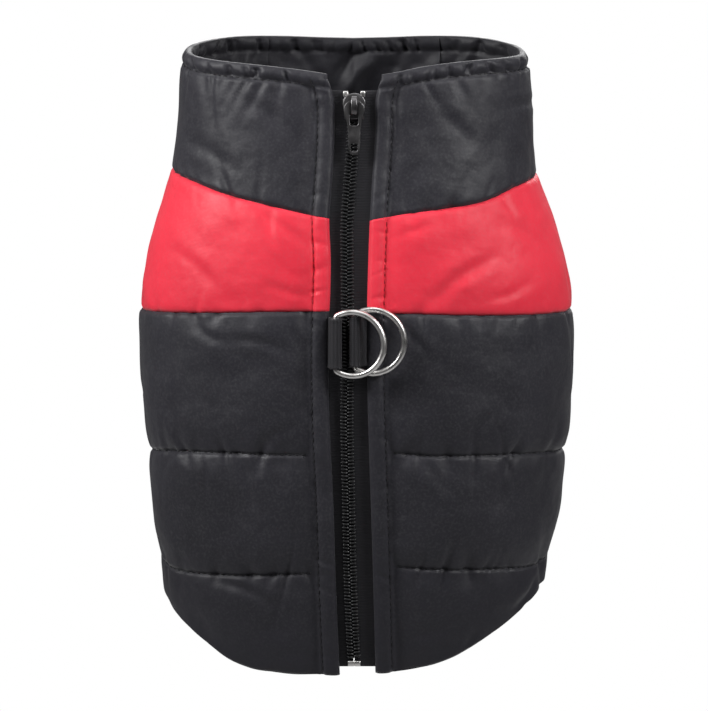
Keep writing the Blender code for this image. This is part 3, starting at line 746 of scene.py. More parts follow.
def object_of(
    name: str, data: bpy.types.Mesh, materials: list[bpy.types.Material], body: str,
    nodes: tuple[str, ...] = (),
) -> bpy.types.Object:
    """Puts a finished mesh into the scene.

    Args:
        name: The piece's name.
        data: Its mesh, in place.
        materials: Its materials, in the order of the faces' indices.
        body: The body that it moves with.
        nodes: The plain solids that it stands for.

    Returns:
        The new object.
    """
    for material in materials:
        data.materials.append(material)
    obj = linked(name, data)
    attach(obj, body)
    if nodes:
        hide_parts(*nodes)
    LOG.info("%s: %d faces on %s", name, len(data.polygons), body)
    return obj


def mesh_from(mesh: bmesh.types.BMesh, name: str, smooth_angle: float = 60.0) -> bpy.types.Mesh:
    """Turns an edited mesh into shaded data, its faces turned outward.

    Args:
        mesh: The edited mesh, which is freed.
        name: The data's name.
        smooth_angle: Edges sharper than this many degrees stay sharp.

    Returns:
        The mesh data.
    """
    bmesh.ops.recalc_face_normals(mesh, faces=mesh.faces)
    data = bpy.data.meshes.new(name)
    mesh.to_mesh(data)
    mesh.free()
    data.shade_smooth()
    data.set_sharp_from_angle(angle=math.radians(smooth_angle))
    return data


def round_edges(mesh: bmesh.types.BMesh, edges: list, offset: float, segments: int = 3) -> None:
    """Rounds a mesh's edges."""
    bmesh.ops.bevel(
        mesh, geom=edges, offset=offset, offset_type="OFFSET", segments=segments, profile=0.5,
        affect="EDGES", material=-1, clamp_overlap=True,
    )


def axes(across: Vector, up: Vector, out: Vector) -> Matrix:
    """The turn that takes X, Y and Z to three directions."""
    return Matrix((across, up, out)).transposed().to_4x4()


def read(items: bpy.types.bpy_prop_collection, name: str, kind: type, width: int = 1) -> Array:
    """Reads one value, or a row of them, from each of a mesh's items."""
    values = np.zeros(len(items) * width, kind)
    items.foreach_get(name, values)
    return values if width == 1 else values.reshape(-1, width)


def map_cloth(data: bpy.types.Mesh, flat: Array) -> Array:
    """Gives a mesh a UV map in metres.

    Args:
        data: The mesh.
        flat: U and V of each vertex.

    Returns:
        The vertex that each face corner stands on.
    """
    corners = read(data.loops, "vertex_index", np.int32)
    layer = data.uv_layers.get("UVMap") or data.uv_layers.new(name="UVMap")
    layer.data.foreach_set("uv", flat[corners].astype(np.float32).ravel())
    return corners


@dataclass
class LaidCloth:
    """A flat cut of cloth, thickened and then laid in place.

    Attributes:
        name: The piece's name.
        outer: Points of the outer face, rows by columns by 3, in millimetres.
        inner: Points of the inner face, alike.
        cloth_u: Distance across the cut at each point, for the weave.
        cloth_v: Distance up the cut at each point.
        raised: Share from 0 to 1 of how far each point stands up, for wear.
    """

    INNER_WEAR = 0.2

    name: str
    outer: Array
    inner: Array
    cloth_u: Array
    cloth_v: Array
    raised: Array

    def mesh(self, lining: bool = False) -> bpy.types.Mesh:
        """Lays the cut.

        Args:
            lining: Whether the inner face takes the second material.

        Returns:
            The mesh in metres, with its weave map and its raised attribute.
        """
        rows, columns = self.outer.shape[:2]
        mesh = bmesh.new()
        bmesh.ops.create_grid(mesh, x_segments=columns - 1, y_segments=rows - 1, size=0.5)
        bmesh.ops.solidify(mesh, geom=mesh.faces[:], thickness=0.1)
        data = bpy.data.meshes.new(self.name)
        mesh.to_mesh(data)
        mesh.free()
        flat = read(data.vertices, "co", np.float32, 3)
        i = np.rint((flat[:, 1] + 0.5) * (rows - 1)).astype(int)
        j = np.rint((flat[:, 0] + 0.5) * (columns - 1)).astype(int)
        out = flat[:, 2] > (flat[:, 2].min() + flat[:, 2].max()) / 2
        points = np.where(out[:, None], self.outer[i, j], self.inner[i, j]) * MM
        data.vertices.foreach_set("co", points.astype(np.float32).ravel())
        corners = map_cloth(data, np.stack([self.cloth_u[i, j], self.cloth_v[i, j]], axis=-1) * MM)
        wear = np.where(out, self.raised[i, j], self.INNER_WEAR).astype(np.float32)
        data.attributes.new("raised", "FLOAT", "POINT").data.foreach_set("value", wear)
        if lining:
            starts = read(data.polygons, "loop_start", np.int32)
            inside = np.minimum.reduceat((~out[corners]).astype(np.int8), starts)
            data.polygons.foreach_set("material_index", inside.astype(np.int32))
        data.update()
        mesh = bmesh.new()
        mesh.from_mesh(data)
        bmesh.ops.recalc_face_normals(mesh, faces=mesh.faces)
        mesh.to_mesh(data)
        mesh.free()
        data.shade_smooth()
        return data


@dataclass
class Panel:
    """A padded piece: columns round the coat, rows between its seams.

    Attributes:
        name: The piece's name, which is also that of the solid it stands for.
        thickness: The padded thickness.
        edges: The seams and edges that bound its bands, from the lowest up.
        rows: Rows in each band.
        spacings: How each band's rows are spread.
        seed: Which unevenness its padding has.
    """

    name: str
    thickness: float
    edges: list[Array]
    rows: list[int]
    spacings: list[Spacing]
    seed: int

    def columns(self) -> Array:
        """The piece's columns, each as a number that place() reads."""
        raise NotImplementedError

    def place(self, columns: Array, height: Array) -> tuple[Array, Array]:
        """Side and distance round of columns at heights."""
        raise NotImplementedError

    def edge_height(self, rows: Array, columns: Array) -> Array:
        """Height at which each column crosses a seam."""
        height = np.full(columns.shape, float(rows[0, 1]))
        for _ in range(9):
            side, distance = self.place(columns, height)
            height = FORM.seam_at(rows, side, distance, height)
        return height

    def lay_out(self) -> None:
        """Works out heights, sides and distances of all rows and columns."""
        columns = self.columns()
        lines = self.lines(columns)
        parts = []
        for k, (rows, spacing) in enumerate(zip(self.rows, self.spacings)):
            shares = spacing.shares(rows)[min(k, 1):]
            parts.append(lines[k] + (lines[k + 1] - lines[k]) * shares[:, None])
        self.height = np.concatenate(parts)
        self.side, self.distance = self.place(columns[None, :], self.height)
        self.along = self.side * self.distance

    def lines(self, columns: Array) -> list[Array]:
        """Heights of the band edges at each column."""
        return [self.edge_height(rows, columns) for rows in self.edges]

    def away(self, rows: Array) -> Array:
        """Height of every point above a seam."""
        return self.height - FORM.seam_at(rows, self.side, self.distance, self.height)

    def laid(self, outer_lift: Array, inner_lift: Array, raised: Array) -> LaidCloth:
        """Places both faces of the piece at their lifts."""
        return LaidCloth(
            self.name,
            FORM.place(self.side, self.distance, self.height, outer_lift),
            FORM.place(self.side, self.distance, self.height, inner_lift),
            self.along + 0 * self.height,
            self.height,
            np.clip(raised, 0, 1),
        )


@dataclass
class BackPanel(Panel):
    """A piece on the spine side, from the welt beside the zip to the seam with the belly panel.

    Attributes:
        hand: Which side it is on.
        spread: Columns between the welt and the side seam.
        flare: How far the welt's edge turns away from the zip at the neck.
        sag: Share of the padding's lift that is lost beside the welt.
    """

    hand: int = LEFT
    spread: int = 128
    flare: float = 0.0
    sag: float = 0.3

    def edge(self, height: Array) -> Array:
        """Distance from the spine line to the welt's free edge, which turns away at the neck."""
        return zip_edge(self.hand, height) + self.flare * np.clip((height - 86) / 14, 0, 1) ** 2

    def columns(self) -> Array:
        """Offsets from the welt's edge, then PADDED_COLUMNS plus a share of what is left."""
        near = np.array([0.0, 0.25, 0.6, 1.0, 1.6, 2.4, 3.2, 4.0, 4.8, 5.5, 6.1, 6.6, 7.0, 7.4, 7.9])
        shares = np.linspace(0.0, 1.0, self.spread + 1)
        end = np.array([0.9975, 0.9992])
        return np.concatenate([near, PADDED_COLUMNS + np.sort(np.concatenate([shares, end]))])

    def place(self, columns: Array, height: Array) -> tuple[Array, Array]:
        """Side and distance round of columns at heights."""
        start = self.edge(height)
        seam = FORM.girth(self.hand, height) - belly_half_width(height)
        end = seam - leg_half_width(height) - SEAM_GAP
        share = np.maximum(columns - PADDED_COLUMNS, 0)
        far = start + WELT_BLEND + (end - start - WELT_BLEND) * share
        distance = np.where(columns < PADDED_COLUMNS, start + columns, far)
        return np.full(distance.shape, self.hand), distance

    def from_welt(self) -> Array:
        """Distance of every point from the free edge of the welt."""
        return self.distance - self.edge(self.height)

    def past_welt(self) -> Array:
        """Share of the lining's slack, which the welt's stitches hold flat beside the zip."""
        return np.clip((self.from_welt() - 7) / 8, 0, 1)

    def with_welt(self, lift: Array) -> Array:
        """Gives the strip beside the zip the welt's rounded form and its stitched edge."""
        offset = self.from_welt()
        beyond = offset - WELT_WIDTH
        lift = lift * (1 - self.sag * (1 - swell(beyond, 28.0)))
        lift = np.maximum(lift - 1.1 * bell(beyond, 5.0), 0.8)
        pulls = Gathers(8.0, 0.4, 1.2, 4.2, self.seed + 40)
        welt = curve(WELT_ROWS, offset) - pulls.sink(self.height, beyond)
        return blend(welt, lift, ease(beyond / 1.6))


@dataclass
class BellySidePanel(Panel):
    """A piece across the belly side, between the two back seams.

    Attributes:
        spread: Columns between the seams.
    """

    spread: int = 84

    def columns(self) -> Array:
        """Shares of the half width, from the left seam to the right."""
        shares = np.linspace(-1.0, 1.0, self.spread + 1)
        end = np.array([0.992, 0.997])
        return np.sort(np.concatenate([shares, end, -end]))

    def place(self, columns: Array, height: Array) -> tuple[Array, Array]:
        """Side and distance round of columns at heights."""
        side = np.where(columns >= 0, RIGHT, LEFT) + 0 * height
        half = belly_half_width(height) - leg_half_width(height) - SEAM_GAP
        return side, FORM.girth(side, height) - np.abs(columns) * half


def dip(distance: Array, depth: float = 1.25, width: float = 0.9) -> Array:
    """The narrow groove that thread pulls into padded cloth."""
    return depth * bell(distance, width)


# Creases on the zip side, read off the picture: the two ends' places across the spine and heights,
# then width, depth and bow
BAND_CREASES = tuple(Crease(*row) for row in (
    (36.1, 7.9, 54.6, 20.9, 3.4, 0.9, 1.6),
    (-40.0, 46.0, -33.5, 32.0, 2.2, 0.7, 0.8),
    (-36.0, 43.5, -24.0, 33.0, 2.6, 0.5, -1.0),
    (-72.0, 24.0, -60.0, 14.0, 3.0, 0.45, 1.0),
    (62.0, 36.0, 74.0, 28.0, 3.0, 0.55, 1.2),
    (20.0, 34.0, 30.0, 37.0, 2.2, 0.4),
    (-20.0, 8.0, -34.0, 12.0, 2.4, 0.45, 0.6),
    (58.0, 6.0, 70.0, 10.0, 2.6, 0.5, -0.8),
))
BODY_CREASES = tuple(Crease(*row) for row in (
    (-47.7, -10.8, -29.7, -15.1, 2.0, 0.9, 1.6),
    (-63.0, -8.0, -52.0, -12.0, 2.2, 0.6, -0.8),
    (-27.0, -6.0, -22.0, -16.0, 1.7, 0.55, 0.7),
    (-38.0, -57.0, -27.0, -48.0, 2.4, 0.7, 0.9),
    (-63.0, -64.0, -61.0, -76.0, 1.8, 0.7, 0.6),
    (-45.0, -65.0, -42.0, -80.0, 2.0, 0.55, -0.8),
    (-55.5, -117.0, -36.0, -124.0, 2.2, 0.7, 1.2),
    (75.6, -119.0, 69.2, -128.0, 2.2, 0.9, 0.8),
    (62.0, -66.0, 59.0, -82.0, 2.4, 0.8, 1.0),
    (30.0, -63.0, 38.0, -74.0, 2.2, 0.45, -0.6),
    (22.0, -8.0, 32.0, -18.0, 2.4, 0.5, 0.8),
    (48.0, -52.0, 58.0, -44.0, 2.6, 0.5, 0.9),
    (-76.0, -40.0, -70.0, -62.0, 3.2, 0.6, 1.6),
    (-20.0, -100.0, -17.0, -88.0, 2.0, 0.5, 0.6),
    (18.0, -145.0, 34.0, -138.0, 3.0, 0.5, 1.0),
))
COLLAR_CREASES = tuple(Crease(*row) for row in (
    (65.4, 87.0, 77.0, 85.0, 1.8, 0.9, 0.5),
    (-44.0, 89.0, -30.0, 80.0, 3.6, 0.7, 1.4),
    (-66.0, 70.0, -52.0, 62.0, 3.4, 0.6, 1.2),
    (36.0, 88.0, 46.0, 76.0, 3.4, 0.6, -1.2),
    (22.0, 52.0, 30.0, 66.0, 3.0, 0.5, 1.0),
    (-18.0, 84.0, -24.0, 70.0, 2.6, 0.5, 0.8),
))
# Folds of the lining on the far side of the neck, alike; a depth above zero bulges inward
LINING_FOLDS = tuple(Crease(*row) for row in (
    (-4.0, 84.0, 9.0, 101.0, 3.8, 4.6, 1.2),
    (-9.0, 88.0, 0.0, 102.0, 2.8, -2.4, 0.8),
    (14.0, 88.0, 20.0, 101.0, 3.0, -1.8, 0.8),
    (-50.0, 86.0, -46.0, 102.0, 2.8, 3.0, 0.8),
    (-56.0, 88.0, -52.0, 102.0, 2.4, -2.2),
    (24.0, 90.0, 40.0, 100.0, 3.0, 2.0, 1.0),
    (43.0, 88.0, 50.0, 103.0, 2.6, 3.2, 0.6),
    (-34.0, 96.0, -20.0, 87.0, 3.2, 2.0, 1.0),
    (-22.0, 102.0, -15.0, 90.0, 2.6, -1.6, 0.6),
))
# Tucks in the neck hem: across the spine, and half width
FAR_TUCKS = (
    (-54.0, 1.6), (-51.0, 1.2), (-41.0, 1.1), (-24.5, 1.0), (-17.0, 1.3), (4.0, 0.8),
    (22.0, 1.2), (27.0, 1.0), (41.0, 1.6), (55.0, 1.3), (64.0, 1.6),
)
FRONT_TUCKS = ((-45.0, 0.9), (-41.5, 0.8), (-28.5, 0.8), (-52.0, 1.2), (40.0, 0.9), (47.0, 1.1))


def scattered(
    low: float, high: float, span: tuple[float, float], count: int, seed: int
) -> tuple[Crease, ...]:
    """Creases on a side that the picture doesn't show, in the way of those that it does.

    Args:
        low: Lowest height.
        high: Highest height.
        span: Least and greatest distance round from the spine, signed.
        count: How many.
        seed: Which scatter.

    Returns:
        Creases whose x0 and x1 are distances round.
    """
    rng = np.random.default_rng(seed)
    found = []
    for _ in range(count):
        at, z = rng.uniform(min(span), max(span)), rng.uniform(low, high)
        run, rise = rng.uniform(-12, 12), rng.uniform(-13, 13)
        width, depth, bow = rng.uniform(1.8, 3.6), rng.uniform(0.35, 0.9), rng.uniform(-1.4, 1.4)
        found.append(Crease(at, z, at + run, z + rise, width, depth, bow))
    return tuple(found)


class Coat:
    """The cloth of the coat: collar, red band, quilted lower part and belly."""

    NECK_HEM = 6.0
    CREASE_DEPTH = 1.7
    QUILT_LIFT = 1.9

    def __init__(self, finishes: Finishes) -> None:
        """Keeps the finishes and starts with no thread lines."""
        self.finishes = finishes
        self.threads: list[tuple[str, Array, Array, bool]] = []

    def sunk(self, panel: Panel, creases: tuple[Crease, ...], hidden: tuple[Crease, ...]) -> Array:
        """The sum of a piece's placed creases.

        Args:
            panel: The piece.
            creases: Creases seen from the zip side.
            hidden: Creases placed by distance round.

        Returns:
            How deep the outer face sinks at each point.
        """
        total = np.zeros(panel.height.shape)
        for crease in creases:
            if crease.x0 * panel.along.mean() > 0:
                total += crease.sink(panel.along, panel.height)
        for crease in hidden:
            total += crease.sink(panel.along, panel.height, by_distance=True)
        return total * self.CREASE_DEPTH

    def padding(
        self, panel: Panel, near: Array, rise: Array, edge: float = EDGE_LIFT,
        uneven: float = 1.0,
    ) -> Array:
        """Lift of the outer face over padding that has settled unevenly.

        Args:
            panel: The piece.
            near: Distance from its nearest seam.
            rise: Share of the padded height.
            edge: The lift at a seam.
            uneven: Strength of the unevenness.

        Returns:
            The lift at each point.
        """
        broad = rumple(panel.along, panel.height, panel.seed, 26.0, 0.34)
        small = rumple(panel.along, panel.height, panel.seed + 1, 9.0, 0.13)
        return edge + (panel.thickness - edge) * rise + (broad + small) * swell(near, 9.0) * uneven

    def draw_up(self, panel: Panel, lift: Array, *lines: tuple) -> None:
        """Sinks a piece by its gathers.

        Args:
            panel: The piece.
            lift: The outer face's lift, which is changed.
            lines: For each stitched line its seed, every point's distance from it, and the
                gathers' spacing, depth, width and reach.
        """
        for seed, away, *numbers in lines:
            lift -= Gathers(*numbers, panel.seed + seed).sink(panel.along, away)

    def lining_folds(self, panel: Panel, depth: float) -> Array:
        """The slack lining's folds, which hang inward."""
        waves = rumple(panel.along, panel.height * 0.35, panel.seed + 2, 14.0, depth)
        waves += rumple(panel.along, panel.height, panel.seed + 3, 7.0, depth * 0.4)
        return -np.abs(waves) * 1.2

    def side_edge(self, panel: Panel) -> Array:
        """Share of the padding's rise beside the side seam and the leg hole."""
        near = from_side_seam(panel.side, panel.distance, panel.height)
        return (0.45 + 0.55 * swell(near)) * (1 - 0.5 * bell(near, 0.9))

    def neck_hem(self, panel: Panel, seen: Array, lift: Array, inner: Array) -> tuple[Array, Array]:
        """Forms the turned hem round the neck, drawn up in uneven gathers.

        Args:
            panel: The piece.
            seen: The points of its inside.
            lift: The outer face's lift below the hem.
            inner: The inner face's lift below the hem.

        Returns:
            Both lifts with the hem.
        """
        below = -panel.away(NECK_RIM)
        share = np.clip(below / self.NECK_HEM, 0, 1)
        gathers = Gathers(8.0, 1.25, 1.3, 9.0, panel.seed + 60).sink(panel.along, below - self.NECK_HEM)
        for tucks, near in ((FAR_TUCKS, seen[..., 1] > 0), (FRONT_TUCKS, seen[..., 1] < 0)):
            for x, width in tucks:
                gathers += 1.6 * bell(seen[..., 0] - x - 0.25 * (below - 3), width) * near
        bead = np.sin(np.pi * np.clip((share * 0.93 + 0.04), 0, 1)) ** 0.6
        if isinstance(panel, BackPanel):
            bead = bead * (0.35 + 0.65 * np.clip(panel.from_welt() / 4.0, 0, 1) ** 0.5)
        hem_out = 1.3 + 2.1 * bead - gathers * np.clip(share * 3, 0.2, 1)
        hem_in = 0.5 - 1.7 * bead + 0.8 * gathers * np.clip(share * 3, 0.2, 1)
        over = ease((below - self.NECK_HEM) / 0.7)
        return blend(hem_out, lift, over), blend(hem_in, inner, over)

    def sew(
        self, panel: Panel, lift: Array, inner: Array, rise: Array,
        red: bool = False,
    ) -> None:
        """Lays a piece, with its lining inside.

        Args:
            panel: The piece.
            lift: Its outer face's lift.
            inner: Its lining's lift.
            rise: Share of the padded height, which wear follows.
            red: Whether its shell is red.
        """
        shell, slot = (self.finishes.red, "red_nylon") if red else (self.finishes.black, "black_nylon")
        data = panel.laid(lift, inner, rise).mesh(lining=True)
        obj = object_of(
            f"{panel.name}_cloth", data, [shell, self.finishes.lining], "coat", (panel.name,)
        )

    def collar(self, panel: Panel, creases: tuple[Crease, ...], hidden: tuple[Crease, ...]) -> None:
        """Makes a collar piece.

        Args:
            panel: The piece, a back one or the throat.
            creases: Its creases seen from the zip side.
            hidden: Its creases placed by distance round.
        """
        panel.lay_out()
        up, below = panel.away(UPPER_SEAM), -panel.away(NECK_RIM) - self.NECK_HEM
        near = np.minimum(up, np.maximum(below, 0))
        rise = (0.66 + 0.34 * swell(near, 15.0)) * self.side_edge(panel)
        lift = self.padding(panel, near, rise)
        lift -= dip(up, 0.8) + dip(below, 0.7, 0.8)
        self.draw_up(panel, lift, (20, up, 11.0, 0.65, 1.8, 7.5), (21, below, 8.0, 0.9, 1.6, 9.5))
        lift -= self.sunk(panel, creases, hidden)
        inner = self.lining_folds(panel, 0.9) * swell(np.minimum(up + 2, np.maximum(below, 0)), 10.0)
        if isinstance(panel, BackPanel):
            inner *= panel.past_welt()
            lift = panel.with_welt(lift)
        seen = FORM.inner(panel.side, panel.distance, panel.height)
        far = np.clip(seen[..., 1] / 8, 0, 1)
        for crease in LINING_FOLDS:
            inner -= crease.sink(seen[..., 0], panel.height, by_distance=True) * far
        lift, inner = self.neck_hem(panel, seen, lift, inner)
        lift = np.maximum(lift, inner + 0.6)
        self.sew(panel, lift, inner, rise)
        hem = panel.edge_height(NECK_RIM, panel.columns()) - self.NECK_HEM
        self.thread(f"{panel.name}_hem_thread", panel, hem, lift)
        if isinstance(panel, BackPanel):
            self.welt_thread(panel, lift, False)

    def thread(self, name: str, panel: Panel, height: Array, lift: Array) -> None:
        """Notes a line of stitches round the coat, outside the welt.

        Args:
            name: The line's name.
            panel: The piece that it is on.
            height: The line's height at each of the piece's columns.
            lift: The lift of the piece's outer face.
        """
        columns = panel.columns()
        on_face = [np.interp(height[j], panel.height[:, j], lift[:, j]) for j in range(len(columns))]
        keep = columns >= (PADDED_COLUMNS if isinstance(panel, BackPanel) else columns[0])
        side, distance = panel.place(columns[keep], height[keep])
        points = FORM.place(side, distance, height[keep], np.array(on_face)[keep] + STITCH_LIFT)
        self.threads.append((name, points, FORM.outward(side, distance, height[keep]), False))

    def welt_thread(self, panel: BackPanel, lift: Array, red: bool) -> None:
        """Notes the line of stitches along a piece's welt.

        Args:
            panel: The piece.
            lift: The lift of its outer face.
            red: Whether the thread is red.
        """
        column = int(np.searchsorted(panel.columns(), WELT_WIDTH))
        heights = panel.height[1:-1, column]
        on_face = (lift[1:-1, column - 1] + lift[1:-1, column]) / 2 + STITCH_LIFT
        side, distance = np.full(heights.shape, panel.hand), panel.edge(heights) + WELT_WIDTH
        points = FORM.place(side, distance, heights, on_face)
        outward = FORM.outward(side, distance, heights)
        self.threads.append((f"{panel.name}_welt_thread", points, outward, red))

    def band(self, panel: BackPanel) -> None:
        """Makes a red band piece."""
        panel.lay_out()
        up, down = panel.away(LOWER_SEAM), -panel.away(UPPER_SEAM)
        near = np.minimum(up, down)
        rise = (0.7 + 0.3 * swell(near, 14.0)) * self.side_edge(panel)
        lift = self.padding(panel, near, rise)
        lift -= dip(up, 0.8) + dip(down, 0.8)
        self.draw_up(panel, lift, (20, up, 13.0, 0.42, 2.0, 6.5), (21, down, 10.0, 0.5, 1.8, 7.0))
        far = scattered(4, 50, (panel.hand * 105, panel.hand * 150), 5, panel.seed + 30)
        lift -= self.sunk(panel, BAND_CREASES, far)
        inner = self.lining_folds(panel, 0.5) * swell(near, 10.0)
        inner *= panel.past_welt()
        lift = np.maximum(panel.with_welt(lift), inner + 0.8)
        self.sew(panel, lift, inner, rise, red=True)
        self.welt_thread(panel, lift, True)

    def lower(self, panel: BackPanel) -> None:
        """Makes a lower back piece: three channels of padding between the quilting lines."""
        panel.lay_out()
        top = -panel.away(LOWER_SEAM)
        upper, lower, hem = (panel.away(rows) for rows in (UPPER_QUILT, LOWER_QUILT, TAIL_HEM))
        near = np.minimum(np.minimum(top, np.abs(upper)), np.minimum(np.abs(lower), np.maximum(hem, 0)))
        quilted = 0.36 + 0.64 * swell(np.minimum(np.abs(upper), np.abs(lower)), 17.0)
        rise = np.minimum(quilted, 0.66 + 0.34 * swell(top, 15.0)) * self.side_edge(panel)
        rise = rise * (0.1 + 0.9 * swell(hem, 46.0)) * np.where(lower < 0, 0.8, 1.0)
        lift = self.padding(panel, near, rise, self.QUILT_LIFT)
        lift -= dip(top, 0.8) + dip(upper, 0.8, 0.85) + dip(lower, 0.8, 0.85)
        self.draw_up(
            panel, lift, (20, top, 9.0, 0.8, 1.8, 8.0), (21, upper, 8.5, 1.0, 1.8, 8.0),
            (22, lower, 8.5, 1.0, 1.8, 8.0), (24, hem, 14.0, 0.3, 2.2, 5.0),
        )
        far = scattered(-108, -6, (panel.hand * 110, panel.hand * 172), 14, panel.seed + 30)
        lift -= self.sunk(panel, BODY_CREASES, far)
        fold = bell(hem, 0.7)
        lift -= 1.3 * fold
        lift = panel.with_welt(np.maximum(lift, 0.7))
        lift = lift - np.where(panel.from_welt() < WELT_BLEND, fold, 0)
        inner = self.lining_folds(panel, 0.7) * swell(near, 12.0)
        inner *= panel.past_welt()
        inner += 0.35 * fold
        lift = np.maximum(lift, inner + 0.4)
        self.sew(panel, lift, inner, rise)
        self.welt_thread(panel, lift, False)
        for label, rows in (("upper", UPPER_QUILT), ("lower", LOWER_QUILT)):
            line = panel.edge_height(rows, panel.columns())
            self.thread(f"{panel.name}_{label}_quilt_thread", panel, line, lift)

    def belly(self, panel: "BellyPanel") -> None:
        """Makes the plain chest and belly piece with its elastic hem."""
        panel.lay_out()
        top, quilt, hem = -panel.away(UPPER_SEAM), panel.away(UPPER_QUILT), panel.away(TAIL_HEM)
        above = hem - panel.HEM
        near = np.minimum(np.minimum(top, np.abs(quilt)), np.maximum(above, 0))
        rise = (0.2 + 0.8 * swell(near, 16.0)) * self.side_edge(panel)
        lift = self.padding(panel, near, rise, uneven=0.8)
        lift -= dip(top, 1.0) + dip(quilt, 1.1, 0.85) + dip(above, 1.1)
        self.draw_up(
            panel, lift, (20, top, 10.0, 0.5, 1.8, 7.0), (21, quilt, 10.0, 0.55, 1.8, 7.5),
            (22, above, 6.5, 0.6, 1.4, 9.0),
        )
        girth = float(FORM.girth(RIGHT, 0.0))
        for hand in (LEFT, RIGHT):
            span = (hand * (girth - 40), hand * girth)
            for crease in scattered(-86, 50, span, 7, panel.seed + 30 + hand):
                lift -= crease.sink(panel.along, panel.height, by_distance=True)
        bead = np.sin(np.pi * np.clip(hem / panel.HEM * 0.92 + 0.05, 0, 1)) ** 0.6
        gathers = Gathers(5.0, 0.75, 1.0, 8.0, panel.seed + 23).sink(panel.along, above)
        share = np.clip(above / 0.8, 0, 1)
        lift = blend(0.9 + 2.8 * bead - gathers, lift, share)
        inner = blend(0.4 - 0.9 * bead, self.lining_folds(panel, 0.5) * swell(near, 12.0), share)
        lift = np.maximum(lift, inner + 0.6)
        self.sew(panel, lift, inner, rise)
        columns = panel.columns()
        self.thread("belly_hem_thread", panel, panel.edge_height(TAIL_HEM, columns) + panel.HEM, lift)
        self.thread("belly_quilt_thread", panel, panel.edge_height(UPPER_QUILT, columns), lift)

    def build(self) -> None:
        """Makes every cloth piece."""
        close, even, leg = Spacing.CLOSE_AT_EDGES, Spacing.EVEN, Spacing.LEG_HOLE
        for hand in (LEFT, RIGHT):
            side = SIDE_NAMES[hand]
            seed = 100 if hand == LEFT else 300
            collar = BackPanel(
                f"collar_{side}", 4.5, [UPPER_SEAM, NECK_RIM], [58], [close], seed, hand=hand,
                flare=3.2, sag=0.42,
            )
            self.collar(collar, COLLAR_CREASES, scattered(64, 96, (hand * 100, hand * 150), 5, seed + 9))
            self.band(BandPanel(
                f"yoke_{side}", 4.5, [], [4, 62, 4], [even, leg, even], seed + 10, hand=hand
            ))
            self.lower(BackPanel(
                f"body_{side}", 5.3, [TAIL_HEM, LOWER_QUILT, UPPER_QUILT, LOWER_SEAM], [40, 40, 48],
                [close] * 3, seed + 20, hand=hand, sag=0.62,
            ))
        throat = BellySidePanel("collar_throat", 4.4, [UPPER_SEAM, NECK_RIM], [58], [close], 500)
        hidden = scattered(64, 96, (200, 240), 3, 509) + scattered(64, 96, (-240, -200), 3, 510)
        self.collar(throat, (), hidden)
        self.belly(BellyPanel(
            "belly_panel", 3.8, [], [10, 24, 50, 62, 6], [even, close, close, leg, even], 520
        ))
        for hand in (LEFT, RIGHT):
            LegBinding(hand).build(self.finishes)
        Stitching(self.threads).build(self.finishes)


@dataclass
class BandPanel(BackPanel):
    """A red band piece, whose rows lie close together at the ends of the leg hole."""

    def lines(self, columns: Array) -> list[Array]:
        """Heights of the seams and, in proportion, of the leg hole's ends at each column."""
        low, high = (self.edge_height(rows, columns) for rows in (LOWER_SEAM, UPPER_SEAM))
        low, high = low + 0.02, high - 0.02
        first, last = low[-1], high[-1]
        ends = [LEG_HEIGHT - LEG_HALF_HEIGHT, LEG_HEIGHT + LEG_HALF_HEIGHT]
        inside = [low + (high - low) * (end - first) / (last - first) for end in ends]
        return [low, *inside, high]


@dataclass
class BellyPanel(BellySidePanel):
    """The chest and belly piece, with its elastic hem and the leg holes' edges."""

    HEM = 7.0

    def lines(self, columns: Array) -> list[Array]:
        """Heights of the hem, quilting line, leg holes' ends and top seam at each column."""
        low, quilt, high = (self.edge_height(rows, columns) for rows in (TAIL_HEM, UPPER_QUILT, UPPER_SEAM))
        ends = [np.full(columns.shape, LEG_HEIGHT + sign * LEG_HALF_HEIGHT) for sign in (-1, 1)]
        return [low, low + self.HEM, quilt, *ends, high - 0.02]


